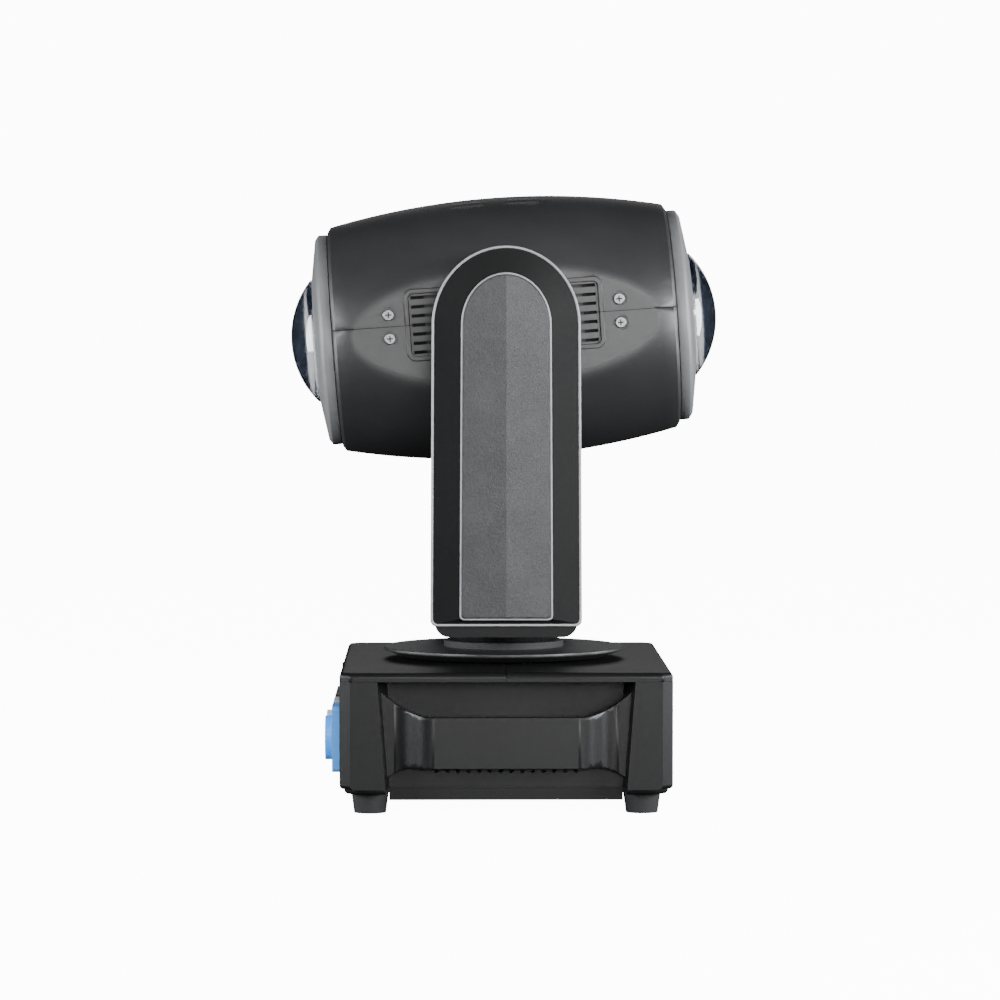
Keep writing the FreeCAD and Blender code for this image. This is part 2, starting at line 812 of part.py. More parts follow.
def motor(side, length):
    """Square stepper motor, its mounting face at z = 0 and its body below."""
    can = box(-side / 2, side / 2, -side / 2, side / 2, -length, 0)
    corners = edges_where(can, lambda edge: is_along(edge, Z_AXIS))
    can = can.makeChamfer(0.1 * side, corners)
    waist = box(-side, side, -side, side, -0.8 * length, -0.2 * length)
    core = rod(0.54 * side, vec(0, 0, -length), length, Z_AXIS)
    pilot = rod(0.3 * side, ORIGIN, 0.8, Z_AXIS)
    return joined([can.cut(waist.cut(core)), pilot])


def pan_bearing():
    profile = [vec(shaft_radius + slip_fit, 0, floor_top), vec(bearing_flange_radius, 0, floor_top),
               vec(bearing_flange_radius, 0, floor_top + 3), vec(bearing_radius, 0, floor_top + 6),
               vec(bearing_radius, 0, bearing_top), vec(shaft_radius + slip_fit, 0, bearing_top)]
    return turned(profile, Z_AXIS)


def pan_shaft():
    top = frame_floor
    return tube(shaft_radius, shaft_bore, vec(0, 0, shaft_bottom), top - shaft_bottom, Z_AXIS)


def pan_pulley():
    wheel = pulley(pan_pulley_radius, shaft_radius, pulley_height)
    wheel.translate(vec(0, 0, pan_pulley_bottom))
    return wheel


def pan_motor():
    body = motor(pan_motor_side, pan_pulley_bottom - 2 - floor_top)
    body.translate(vec(pan_motor_x, pan_motor_y, pan_pulley_bottom - 2))
    return body


def pan_motor_pulley():
    wheel = joined([pulley(motor_pulley_radius, motor_shaft_radius, pulley_height),
                    rod(motor_shaft_radius, vec(0, 0, -0.8), pulley_height + 2, Z_AXIS)])
    wheel.translate(vec(pan_motor_x, pan_motor_y, pan_pulley_bottom))
    return wheel


def pan_belt():
    clear = seam_gap
    return belt_loop(vec(pan_motor_x, pan_motor_y, 0), ORIGIN, motor_pulley_radius + clear,
                     pan_pulley_radius + clear, pan_belt_low, belt_width, belt_thickness)


def pan_disc():
    """Round cover on the yoke that hides the gap above the base, thin at its edge."""
    profile = [vec(shaft_radius, 0, disc_bottom), vec(disc_radius - disc_taper, 0, disc_bottom),
               vec(disc_radius, 0, disc_top - disc_edge), vec(disc_radius, 0, disc_top),
               vec(shaft_radius, 0, disc_top)]
    return turned(profile, Z_AXIS)


def neck_seal():
    return tube(seal_radius, neck_radius + 0.1, vec(0, 0, disc_top), seal_height, Z_AXIS)


# ---- Yoke ---------------------------------------------------------------------------------------------

def arm_wire(side_inset, top_inset, bottom, y):
    """Front outline of an arm: half an ellipse on two nearly upright sides."""
    top_x = arm_half_width_top - side_inset
    low_x = arm_half_width_bottom - side_inset
    rise = arch_rise - top_inset
    centre = vec(0, y, arch_centre_z)
    arch = Part.Ellipse(vec(0, y, arch_centre_z + rise), vec(top_x, y, arch_centre_z), centre)
    left = vec(-top_x, y, arch_centre_z)
    right = vec(top_x, y, arch_centre_z)
    low_left = vec(-low_x, y, bottom)
    low_right = vec(low_x, y, bottom)
    arc = Part.Arc(arch, -math.pi / 2, math.pi / 2).toShape()
    sides = [Part.makeLine(left, low_left), Part.makeLine(low_left, low_right),
             Part.makeLine(low_right, right)]
    edges = [arc] + sides
    return Part.Wire(Part.__sortEdges__(edges))


def arm_slab(side_inset, top_inset, bottom, y_from, y_to):
    face = Part.Face(arm_wire(side_inset, top_inset, bottom, y_from))
    return face.extrude(vec(0, y_to - y_from, 0))


def corners_rounded(slab, bottom, radius):
    edges = edges_where(slab, lambda edge: is_along(edge, Y_AXIS) and edge.BoundBox.ZMax < bottom + 0.1)
    return slab.makeFillet(radius, edges)


def arm_screw_places():
    """Where the arm screws stand, as x and z."""
    return [(x, z) for x in (-arm_screw_x, arm_screw_x) for z in (arm_screw_low_z, arm_screw_high_z)]


def arm_bosses(radius, y_from, y_to):
    return [rod(radius, vec(x, y_from, z), y_to - y_from, Y_AXIS) for x, z in arm_screw_places()]


def arm_screw_set():
    screws = []
    for x, z in arm_screw_places():
        head = Part.makeCone(screw_head_radius, screw_shank_radius, screw_head_height,
                             vec(x, -arm_inner_y, z), vec(0, -1, 0))
        shank = rod(screw_shank_radius, vec(x, -arm_inner_y - arm_screw_length, z), arm_screw_length, Y_AXIS)
        screws.append(joined([head, shank]))
    return screws


def arm_shell():
    """Inner half of the arm housing at -Y: a tub, open towards the outer cover."""
    inset = arm_core_inset
    inside = inset + arm_wall
    block = arm_slab(inset, inset, arm_core_bottom, -arm_split_y, -arm_inner_y)
    block = corners_rounded(block, arm_core_bottom, arm_core_corner)
    pocket = arm_slab(inside, inside, arm_core_bottom + arm_wall, -arm_split_y, -arm_inner_y - arm_wall)
    pocket = corners_rounded(pocket, arm_core_bottom + arm_wall, arm_core_corner - arm_wall)
    shaft_hole = rod(shaft_hole_radius, vec(0, -arm_split_y, tilt_height), arm_split_y, Y_AXIS)
    window_half = cross_half_x - cross_wall - 1.1
    window = box(-window_half, window_half, -arm_inner_y - arm_wall - 1, -arm_inner_y + 1,
                 frame_floor - seam_gap, cross_top - cross_wall)
    tub = joined([block.cut(pocket)] + arm_bosses(screw_boss_radius, -arm_split_y, -arm_inner_y))
    return tub.common(block).cut(group([shaft_hole, window] + arm_screw_set()))


def arm_cover():
    """Outer half of the arm housing at -Y, with the sloping band round its middle panel."""
    front = -arm_split_y - seam_gap
    block = corners_rounded(arm_slab(0, 0, arm_cover_bottom, -arm_face_y, front), arm_cover_bottom, 3.0)
    rim = edges_where(block, lambda edge: edge.BoundBox.YMax < -arm_face_y + 0.1)
    block = block.makeFillet(0.9, rim)
    pocket = arm_slab(arm_wall, arm_wall, arm_cover_bottom + arm_wall, front, -arm_face_y + arm_wall)
    core_front = -arm_face_y + 3.0
    core = arm_slab(arm_core_inset, arm_core_inset, arm_core_bottom, core_front, front)
    core = corners_rounded(core, arm_core_bottom, arm_core_corner)
    lower = arm_cover_bottom + arm_wall
    core = core.common(box(-base_half_x, base_half_x, core_front, front, arm_core_bottom, lower))
    low_wire = arm_wire(rim_width, rim_width, arm_cover_bottom + rim_width, -arm_face_y)
    high_wire = arm_wire(band_width_side, band_width_top, panel_bottom, -arm_band_y)
    band = Part.makeLoft([low_wire, high_wire], True, True)
    bosses = arm_bosses(screw_boss_radius, -arm_face_y + 1, front)
    shell = joined([block.cut(pocket), core] + [boss.common(block) for boss in bosses])
    return joined([shell, band]).cut(group(arm_screw_set()))


def arm_panel():
    """Raised middle panel of an arm cover, creased along its centre line."""
    slab = arm_slab(band_width_side, band_width_top, panel_bottom, -arm_panel_y - panel_crease, -arm_band_y)
    half = arm_half_width_bottom
    side_y = -arm_panel_y + panel_edge_drop
    crease = [vec(-half, -arm_band_y, 0), vec(-half, side_y, 0), vec(0, side_y - panel_crease, 0),
              vec(half, side_y, 0), vec(half, -arm_band_y, 0)]
    return slab.common(prism(crease, vec(0, 0, arch_centre_z + arch_rise)))


def yoke_frame():
    """Folded plate: a floor on the pan shaft, and an upright plate in each arm that holds a tilt bearing."""
    outer_y = frame_arm_y + frame_thickness
    floor = box(-frame_arm_half_x, frame_arm_half_x, -outer_y, outer_y,
                frame_floor, frame_floor + frame_thickness)
    upright = box(-frame_arm_half_x, frame_arm_half_x, -outer_y, -frame_arm_y, frame_floor, tilt_height)
    crown = rod(frame_arm_half_x, vec(0, -outer_y, tilt_height), frame_thickness, Y_AXIS)
    plate = joined([floor] + both_y(upright) + both_y(crown))
    holes = both_y(rod(tilt_bearing_radius, vec(0, -outer_y - 1, tilt_height), frame_thickness + 2, Y_AXIS))
    pilot = rod(0.36 * tilt_motor_side, vec(0, -outer_y - 1, tilt_motor_z), frame_thickness + 2, Y_AXIS)
    cable_way = rod(shaft_bore, vec(0, 0, frame_floor - 1), frame_thickness + 2, Z_AXIS)
    slots = both_y(box(-10, 10, -outer_y - 1, -frame_arm_y + 1, 135, 185))
    return plate.cut(group(holes + slots + [pilot, cable_way]))


def yoke_cover():
    """Housing of the cross member between the arms, with the neck below it."""
    end_y = arm_inner_y - seam_gap
    wall = cross_wall
    block = box(-cross_half_x, cross_half_x, -end_y, end_y, arm_core_bottom, cross_top)
    upper = edges_where(block, lambda edge: is_along(edge, Y_AXIS) and edge.BoundBox.ZMin > cross_top - 1)
    block = block.makeFillet(cross_corner, upper)
    block = corners_rounded(block, arm_core_bottom, arm_core_corner)
    inner_x = cross_half_x - wall
    inside = box(-inner_x, inner_x, -end_y - 1, end_y + 1, arm_core_bottom + wall, cross_top - wall)
    inner_edges = edges_where(inside, lambda edge: is_along(edge, Y_AXIS))
    inside = inside.makeFillet(arm_core_corner - wall, inner_edges)
    neck = rod(neck_radius, vec(0, 0, neck_bottom), arm_core_bottom - neck_bottom + 1, Z_AXIS)
    bore_length = arm_core_bottom - neck_bottom + wall + 1
    neck_bore = rod(neck_radius - wall, vec(0, 0, neck_bottom), bore_length, Z_AXIS)
    return joined([block.cut(inside), neck]).cut(neck_bore)


def to_tilt_axis(shape, start_y, height):
    """Turns a piece built along +Z so that it runs along -Y from start_y at the given height."""
    shape.rotate(ORIGIN, X_AXIS, 90)
    shape.translate(vec(0, -start_y, height))
    return shape


def tilt_motor():
    return to_tilt_axis(motor(tilt_motor_side, tilt_motor_length), frame_arm_y, tilt_motor_z)


def tilt_motor_pulley():
    wheel = joined([pulley(tilt_motor_pulley_radius, motor_shaft_radius, pulley_height),
                    rod(motor_shaft_radius, vec(0, 0, -6.0), pulley_height + 7, Z_AXIS)])
    return to_tilt_axis(wheel, tilt_pulley_y, tilt_motor_z)


def tilt_belt():
    clear = seam_gap
    loop = belt_loop(vec(0, tilt_motor_z, 0), vec(0, tilt_height, 0), tilt_motor_pulley_radius + clear,
                     tilt_pulley_radius + clear, tilt_belt_low, belt_width, belt_thickness)
    return to_tilt_axis(loop, 0, 0)


def tilt_bearings():
    start = vec(0, -frame_arm_y - tilt_bearing_width, tilt_height)
    ring = tube(tilt_bearing_radius, tilt_shaft_radius + slip_fit, start, tilt_bearing_width, Y_AXIS)
    return group(both_y(ring))


# ---- Head ---------------------------------------------------------------------------------------------

def in_head(shape):
    """Takes a piece from the head's own frame to its place at rest, tilted up a little."""
    placed = shape.copy()
    placed.rotate(ORIGIN, Y_AXIS, -rest_tilt)
    placed.translate(vec(0, 0, tilt_height))
    return placed


def barrel(inset, half_length, bevel):
    """Barrel with a long bowed side, its ends bevelled."""
    radius = barrel_radius - inset
    shoulder = half_length - bevel
    bow = barrel_bow_radius - inset
    end_radius = radius - (bow - math.sqrt(bow * bow - shoulder * shoulder))
    rim_radius = end_radius - 1.6 * bevel
    side = Part.Arc(vec(-shoulder, 0, end_radius), vec(0, 0, radius), vec(shoulder, 0, end_radius)).toShape()
    points = [vec(shoulder, 0, end_radius), vec(half_length, 0, rim_radius), vec(half_length, 0, 0),
              vec(-half_length, 0, 0), vec(-half_length, 0, rim_radius), vec(-shoulder, 0, end_radius)]
    outline = Part.Wire([side] + Part.makePolygon(points).Edges)
    return Part.Face(outline).revolve(ORIGIN, X_AXIS, 360)


def between_flats(shape, half):
    reach_u = barrel_half + 1
    reach_w = barrel_radius + 1
    return shape.common(box(-reach_u, reach_u, -half, half, -reach_w, reach_w))


def is_on_flat(edge):
    extent = edge.BoundBox
    return abs(abs(extent.YMin) - flat_half) < 0.01 and extent.YLength < 0.01


def head_skin():
    """Hollow head housing with flattened, softly blended sides and an opening at each end."""
    outer = between_flats(barrel(0, barrel_half, barrel_bevel), flat_half)
    rims = edges_where(outer, is_on_flat)
    outer = outer.makeFillet(flat_blend, rims)
    inner = between_flats(barrel(head_wall, barrel_half - head_wall, barrel_bevel), flat_half - head_wall)
    opening = rod(bezel_spigot, vec(-barrel_half - 1, 0, 0), 2 * barrel_half + 2, X_AXIS)
    return outer.cut(inner).cut(opening)


def grille_rim_at(side):
    """Raised rounded frame round the louvres, at +u for 1 and -u for -1, on the -Y flat."""
    low = seam_height - grille_half_height
    high = seam_height + grille_half_height
    depth = grille_proud + 0.5
    start = -flat_half - grille_proud
    frame = box(grille_inner_u, grille_outer_u, start, start + depth, low, high)
    hole = box(grille_inner_u + grille_rim, grille_outer_u - grille_rim, start - 1, start + depth + 1,
               low + grille_rim, high - grille_rim)
    frame = frame.makeFillet(grille_corner, edges_where(frame, lambda edge: is_along(edge, Y_AXIS)))
    hole = hole.makeFillet(grille_corner - grille_rim, edges_where(hole, lambda edge: is_along(edge, Y_AXIS)))
    rim = frame.cut(hole)
    rim = rim.makeFillet(grille_round, edges_where(rim, lambda edge: edge.BoundBox.YMax < start + 0.1))
    return rim if side > 0 else across_x(rim)


def louvre_cuts(side):
    cuts = []
    for index in range(louvre_count):
        w = seam_height + (index - (louvre_count - 1) / 2) * louvre_pitch
        cuts.append(box(grille_inner_u + louvre_margin, grille_outer_u - louvre_margin, -flat_half - 1,
                        -flat_half + head_wall + 1, w - louvre_gap / 2, w + louvre_gap / 2))
    return cuts if side > 0 else [across_x(cut) for cut in cuts]


def top_vent_cuts():
    cuts = []
    for centre in (-vent_centre_u, vent_centre_u):
        for angle in vent_angles:
            slot = box(centre - vent_length / 2, centre + vent_length / 2, -vent_width / 2, vent_width / 2,
                       barrel_radius - 8, barrel_radius + 2)
            slot.rotate(ORIGIN, X_AXIS, angle)
            cuts.append(slot)
    return cuts


def cover_screw_places():
    """Where the screws stand on the -Y flat, as u and w."""
    return [(u, w) for u in (-cover_screw_u, cover_screw_u) for w in screw_heights]


def cover_screws():
    """Pan-head screws in the -Y flat, a cross recess in each head."""
    screws = []
    seat = -flat_half + screw_recess_depth
    for u, w in cover_screw_places():
        head = rod(screw_head_radius, vec(u, seat - screw_head_height, w), screw_head_height, Y_AXIS)
        rim = edges_where(head, lambda edge: edge.BoundBox.YMax < seat - screw_head_height + 0.1)
        head = head.makeFillet(0.5, rim)
        arms = [box(u - 1.5, u + 1.5, seat - 3, seat - 0.7, w - 0.3, w + 0.3),
                box(u - 0.3, u + 0.3, seat - 3, seat - 0.7, w - 1.5, w + 1.5)]
        shank = rod(screw_shank_radius, vec(u, seat - 0.1, w), screw_boss_depth, Y_AXIS)
        screws.append(joined([head.cut(group(arms)), shank]))
    return screws


def side_features():
    """Solids to add to and to cut from the head housing for the details of the -Y flat."""
    added = [grille_rim_at(1), grille_rim_at(-1)]
    removed = louvre_cuts(1) + louvre_cuts(-1)
    for u, w in cover_screw_places():
        boss_start = vec(u, -flat_half + head_wall - 0.5, w)
        added.append(rod(screw_boss_radius, boss_start, screw_boss_depth, Y_AXIS))
        removed.append(rod(screw_recess_radius, vec(u, -flat_half - 1, w), screw_recess_depth + 1, Y_AXIS))
        removed.append(rod(screw_shank_radius, vec(u, -flat_half, w), screw_boss_depth + 4, Y_AXIS))
    removed.append(rod(shaft_hole_radius, vec(0, -flat_half - 1, 0), head_wall + 2, Y_AXIS))
    return added, removed


def head_housing():
    added, removed = side_features()
    added = added + [across_y(piece) for piece in added]
    removed = removed + [across_y(piece) for piece in removed] + top_vent_cuts()
    return joined([head_skin()] + added).cut(group(removed))


def head_cover(housing, upper):
    reach = barrel_half + 2
    if upper:
        return housing.common(box(-reach, reach, -reach, reach, seam_height + seam_gap / 2, reach))
    return housing.common(box(-reach, reach, -reach, reach, -reach, seam_height - seam_gap / 2))


def bezel():
    """Front ring: a spigot inside the covers, and a shallow cone that holds the lens."""
    seat = lens_back + lens_flange_thickness + 0.05
    lens_bore = lens_radius + 0.1
    flange_bore = lens_flange_radius + 0.1
    inner_end = bezel_start - bezel_spigot_length
    inner_radius = bezel_spigot - bezel_spigot_wall
    plug = bezel_spigot - 0.1
    back = lens_back - 2
    profile = [(inner_end, inner_radius), (inner_end, plug), (bezel_start, plug), (bezel_start, bezel_radius),
               (bezel_shoulder, bezel_radius), (bezel_shoulder + 0.7 * bezel_bevel, bezel_radius - bezel_bevel),
               (bezel_lip, lens_bore), (seat, lens_bore), (seat, flange_bore), (back, flange_bore),
               (back, inner_radius)]
    return turned([vec(u, 0, r) for u, r in profile], X_AXIS)


def lens():
    """Solid dome lens, flat behind, with a thin flange that the bezel holds."""
    flange_front = lens_back + lens_flange_thickness
    tip_u = lens_centre_u + lens_curve
    half_turn = 0.5 * math.asin(lens_radius / lens_curve)
    middle = vec(lens_centre_u + lens_curve * math.cos(half_turn), 0, lens_curve * math.sin(half_turn))
    dome = Part.Arc(vec(lens_edge_u, 0, lens_radius), middle, vec(tip_u, 0, 0)).toShape()
    points = [vec(tip_u, 0, 0), vec(lens_back, 0, 0), vec(lens_back, 0, lens_flange_radius),
              vec(flange_front, 0, lens_flange_radius), vec(flange_front, 0, lens_radius),
              vec(lens_edge_u, 0, lens_radius)]
    outline = Part.Wire([dome] + Part.makePolygon(points).Edges)
    return Part.Face(outline).revolve(ORIGIN, X_AXIS, 360)


def head_chassis():
    """Two side plates, a bulkhead at each end, and the two rods of the focus carriage."""
    outer_y = chassis_y + chassis_plate
    side = box(chassis_rear, chassis_front, -outer_y, -chassis_y, -chassis_half_w, chassis_half_w)
    front = box(chassis_front - chassis_plate, chassis_front, -outer_y, outer_y,
                -chassis_half_w, chassis_half_w)
    rear = box(chassis_rear, chassis_rear + chassis_plate, -outer_y, outer_y, -chassis_half_w, chassis_half_w)
    rod_start = chassis_front - 1
    rods = [rod(rod_radius, vec(rod_start, y, 0), rod_end - rod_start, X_AXIS) for y in (-rod_y, rod_y)]
    depth = chassis_plate + 2
    front_u = chassis_front - chassis_plate - 1
    holes = [rod(bulkhead_hole, vec(chassis_rear - 1, 0, 0), depth, X_AXIS),
             rod(wheel_aperture + 1.5, vec(front_u, 0, 0), depth, X_AXIS),
             rod(0.3 * wheel_motor_side + 0.1, vec(front_u, 0, -wheel_offset), depth, X_AXIS)]
    return joined([front, rear] + both_y(side) + rods).cut(group(holes))


def tilt_shafts():
    """Flanged hollow stub shafts; the one at -Y is longer and carries the pulley."""
    seat = chassis_y + chassis_plate
    stubs = []
    for direction, end in ((-1, tilt_shaft_end), (1, tilt_shaft_end - pulley_height - air_gap)):
        axis = vec(0, direction, 0)
        start = vec(0, direction * seat, 0)
        flange_length = flat_half - head_wall - seat - 0.2
        flange_disc = rod(tilt_shaft_radius + tilt_shaft_flange, start, flange_length, axis)
        shaft = rod(tilt_shaft_radius, start, end - seat, axis)
        bore = rod(tilt_shaft_bore, start, end - seat, axis)
        stubs.append(joined([flange_disc, shaft]).cut(bore))
    return group(stubs)


def tilt_pulley():
    return to_tilt_axis(pulley(tilt_pulley_radius, tilt_shaft_radius, pulley_height), tilt_pulley_y, 0)


def heat_sink():
    """Finned block between the side plates; the fins stand above and below a solid core."""
    block = box(-sink_half_u, sink_half_u, -chassis_y, chassis_y, -sink_half_w, sink_half_w)
    count = int(2 * (chassis_y - fin_gap) / fin_pitch)
    slots = []
    for index in range(count):
        y = (index - (count - 1) / 2) * fin_pitch
        for low, high in ((sink_core, sink_half_w + 1), (-sink_half_w - 1, -sink_core)):
            slots.append(box(-sink_half_u + 3, sink_half_u - 3, y - fin_gap / 2, y + fin_gap / 2, low, high))
    return block.cut(group(slots))


def led_module(side):
    """LED board and its collimator, facing +u for 1 and -u for -1."""
    board_end = sink_half_u + led_board_thickness
    board = box(sink_half_u, board_end, -led_board_half, led_board_half, -led_board_half, led_board_half)
    cone = Part.makeCone(collimator_mouth, collimator_radius, collimator_length, vec(board_end, 0, 0), X_AXIS)
    bowl_start = vec(board_end + 0.8, 0, 0)
    bowl = Part.makeCone(collimator_mouth - 4, collimator_radius - 1.5, collimator_length, bowl_start, X_AXIS)
    module = joined([board, cone]).cut(bowl)
    return module if side > 0 else across_x(module)


def fan_frame():
    base = sink_half_w
    block = box(-fan_half, fan_half, -fan_half, fan_half, base, base + fan_height)
    block = block.makeFillet(4.0, edges_where(block, lambda edge: is_along(edge, Z_AXIS)))
    duct = rod(fan_bore, vec(0, 0, base - 1), fan_height + 2, Z_AXIS)
    hub = rod(fan_hub, vec(0, 0, base), 2.0, Z_AXIS)
    struts = []
    for index in range(3):
        strut = box(0, fan_bore + 1, -1.5, 1.5, base, base + 2.0)
        strut.rotate(ORIGIN, Z_AXIS, 120 * index + 45)
        struts.append(strut)
    bore = rod(wheel_shaft_radius + slip_fit, vec(0, 0, base - 1), 4.0, Z_AXIS)
    return joined([block.cut(duct), hub] + struts).cut(bore)


def fan_rotor():
    base = sink_half_w + 2.5
    height = fan_height - 3.5
    hub = rod(fan_hub, vec(0, 0, base), height, Z_AXIS)
    shaft = rod(wheel_shaft_radius, vec(0, 0, base - 2.2), 3.0, Z_AXIS)
    blades = []
    for index in range(fan_blades):
        blade = box(fan_hub - 1.5, fan_bore - 1, -0.6, 0.6, base + 0.2, base + height - 0.2)
        blade.rotate(vec(0, 0, base + height / 2), X_AXIS, 32)
        blade.rotate(ORIGIN, Z_AXIS, 360.0 * index / fan_blades)
        blades.append(blade)
    room = rod(fan_bore - 1, vec(0, 0, base), height, Z_AXIS)
    return joined([hub, shaft] + [blade.common(room) for blade in blades])


def effect_wheel(u, w, shaft_end, petals):
    """Disc of round apertures on a shaft along u; a gobo wheel has bars across its apertures."""
    disc = rod(wheel_radius, vec(u, 0, w), wheel_thickness, X_AXIS)
    hub = rod(5.0, vec(u - 0.8, 0, w), wheel_thickness + 1.6, X_AXIS)
    start = min(u, shaft_end)
    shaft = rod(wheel_shaft_radius, vec(start, 0, w), abs(shaft_end - u), X_AXIS)
    holes = []
    for index in range(wheel_aperture_count):
        turn = 2 * math.pi * index / wheel_aperture_count
        centre = vec(u - 1, wheel_offset * math.sin(turn), w + wheel_offset * math.cos(turn))
        hole = rod(wheel_aperture, centre, wheel_thickness + 2, X_AXIS)
        if petals and index > 0:
            bar = box(u - 1, u + wheel_thickness + 1, centre.y - 0.5, centre.y + 0.5,
                      centre.z - wheel_aperture - 1.5, centre.z + wheel_aperture + 1.5)
            bar.rotate(centre, X_AXIS, 22.5 * index)
            hole = hole.cut(bar)
        holes.append(hole)
    return joined([disc.cut(group(holes)), hub, shaft])


def wheel_motors():
    """Two small motors in front of the front bulkhead, one for each wheel."""
    colour = motor(wheel_motor_side, wheel_motor_length)
    colour.rotate(ORIGIN, Y_AXIS, -90)
    colour.translate(vec(chassis_front, 0, -wheel_offset))
    gobo = motor(wheel_motor_side, wheel_motor_length)
    gobo.rotate(ORIGIN, Y_AXIS, 90)
    gobo.translate(vec(chassis_front + wheel_motor_length, 0, wheel_offset))
    bores = [rod(wheel_shaft_radius + slip_fit, vec(chassis_front - 3, 0, w), wheel_motor_length + 6, X_AXIS)
             for w in (-wheel_offset, wheel_offset)]
    return group([colour.cut(bores[0]), gobo.cut(bores[1])])


def focus_carriage():
    """Lens plate that slides on the two chassis rods."""
    reach = rod_y + 4.0
    plate = box(carriage_u, carriage_u + carriage_thickness, -reach, reach, -8, 8)
    ring = rod(carriage_lens_radius + 2.5, vec(carriage_u, 0, 0), carriage_thickness, X_AXIS)
    opening = rod(carriage_lens_radius - 2, vec(carriage_u - 1, 0, 0), carriage_thickness + 2, X_AXIS)
    seat = rod(carriage_lens_radius, vec(carriage_u + 1, 0, 0), carriage_thickness - 2, X_AXIS)
    glass = rod(carriage_lens_radius, vec(carriage_u + 1, 0, 0), carriage_thickness - 2, X_AXIS)
    bore_length = carriage_thickness + 2
    bores = [rod(rod_radius + slip_fit, vec(carriage_u - 1, y, 0), bore_length, X_AXIS) for y in (-rod_y, rod_y)]
    holder = joined([plate, ring]).cut(group([opening, seat] + bores))
    return joined([holder, glass])


# ---- All nodes ----------------------------------------------------------------------------------------

def base_nodes():
    nodes = {
        "base_tray": base_tray(),
        "rubber_feet": rubber_feet(),
        "base_cover_front": base_cover(1),
        "base_cover_rear": base_cover(-1),
        "side_panel_right": side_panel(),
        "side_panel_left": across_y(side_panel()),
        "handle_right": handle(),
        "handle_left": across_y(handle()),
        "front_panel": front_panel(),
        "display_window": display_window(),
        "rear_panel": rear_panel(),
        "power_inlet": power_socket(0),
        "power_outlet": power_socket(1),
        "data_connectors": group([data_connector(2, True), data_connector(3, False)]),
        "fuse_holder": fuse_holder(),
        "power_supply": power_supply(),
        "control_board": control_board(),
        "base_screws": base_screws(),
        "pan_bearing": pan_bearing(),
        "pan_motor": pan_motor(),
        "pan_motor_pulley": pan_motor_pulley(),
        "pan_belt": pan_belt(),
    }
    for name, y, z in button_places():
        nodes[name] = button(y, z)
    return nodes


def yoke_nodes():
    return {
        "pan_shaft": pan_shaft(),
        "pan_pulley": pan_pulley(),
        "pan_disc": pan_disc(),
        "neck_seal": neck_seal(),
        "yoke_frame": yoke_frame(),
        "yoke_cover": yoke_cover(),
        "arm_shell_right": arm_shell(),
        "arm_shell_left": across_y(arm_shell()),
        "arm_cover_right": arm_cover(),
        "arm_cover_left": across_y(arm_cover()),
        "arm_panel_right": arm_panel(),
        "arm_panel_left": across_y(arm_panel()),
        "arm_screws": group(arm_screw_set() + [across_y(screw) for screw in arm_screw_set()]),
        "tilt_motor": tilt_motor(),
        "tilt_motor_pulley": tilt_motor_pulley(),
        "tilt_belt": tilt_belt(),
        "tilt_bearings": tilt_bearings(),
    }


def head_nodes():
    housing = head_housing()
    pieces = {
        "head_cover_top": head_cover(housing, True),
        "head_cover_bottom": head_cover(housing, False),
        "head_screws": group(cover_screws() + [across_y(screw) for screw in cover_screws()]),
        "bezel_front": bezel(),
        "bezel_rear": across_x(bezel()),
        "dome_lenses": group([lens(), across_x(lens())]),
        "head_chassis": head_chassis(),
        "tilt_shafts": tilt_shafts(),
        "tilt_pulley": tilt_pulley(),
        "heat_sink": heat_sink(),
        "led_modules": group([led_module(1), led_module(-1)]),
        "fan_frame": fan_frame(),
        "fan_rotor": fan_rotor(),
        "colour_wheel": effect_wheel(colour_wheel_u, -wheel_offset, chassis_front + 3, False),
        "gobo_wheel": effect_wheel(gobo_wheel_u, wheel_offset, chassis_front + wheel_motor_length - 3, True),
        "wheel_motors": wheel_motors(),
        "focus_carriage": focus_carriage(),
    }
    return {name: in_head(shape) for name, shape in pieces.items()}


def main():
    os.makedirs("parts", exist_ok=True)
    for nodes in (base_nodes(), yoke_nodes(), head_nodes()):
        for name, shape in nodes.items():
            shape.exportStep("parts/" + name + ".step")


main()
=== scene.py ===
import json
import math

import bmesh
import bpy
from mathutils import Matrix, Vector


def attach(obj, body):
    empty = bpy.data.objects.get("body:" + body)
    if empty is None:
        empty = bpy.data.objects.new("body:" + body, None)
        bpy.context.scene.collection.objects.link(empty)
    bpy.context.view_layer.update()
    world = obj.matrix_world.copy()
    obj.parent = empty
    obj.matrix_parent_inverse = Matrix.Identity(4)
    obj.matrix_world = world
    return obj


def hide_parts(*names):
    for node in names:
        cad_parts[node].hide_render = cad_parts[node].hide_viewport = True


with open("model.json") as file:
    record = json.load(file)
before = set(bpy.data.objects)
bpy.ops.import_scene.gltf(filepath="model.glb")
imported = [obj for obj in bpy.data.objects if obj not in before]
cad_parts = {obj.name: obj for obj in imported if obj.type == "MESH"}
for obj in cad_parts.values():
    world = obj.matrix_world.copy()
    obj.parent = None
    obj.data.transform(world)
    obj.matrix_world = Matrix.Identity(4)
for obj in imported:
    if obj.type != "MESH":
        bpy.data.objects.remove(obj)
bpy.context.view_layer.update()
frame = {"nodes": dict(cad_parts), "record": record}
MM = 0.001


# ---- Camera, light and stage --------------------------------------------------------------------------

CAMERA_PLACE = Vector((-0.0284, -2.097, 0.2293))
CAMERA_YAW = 0.7276         # degrees to the right of the +Y direction
CAMERA_PITCH = 2.366        # degrees below level
CAMERA_LENS = 155.9
CAMERA_SENSOR = 36.0
CAMERA_REACH = 50.0


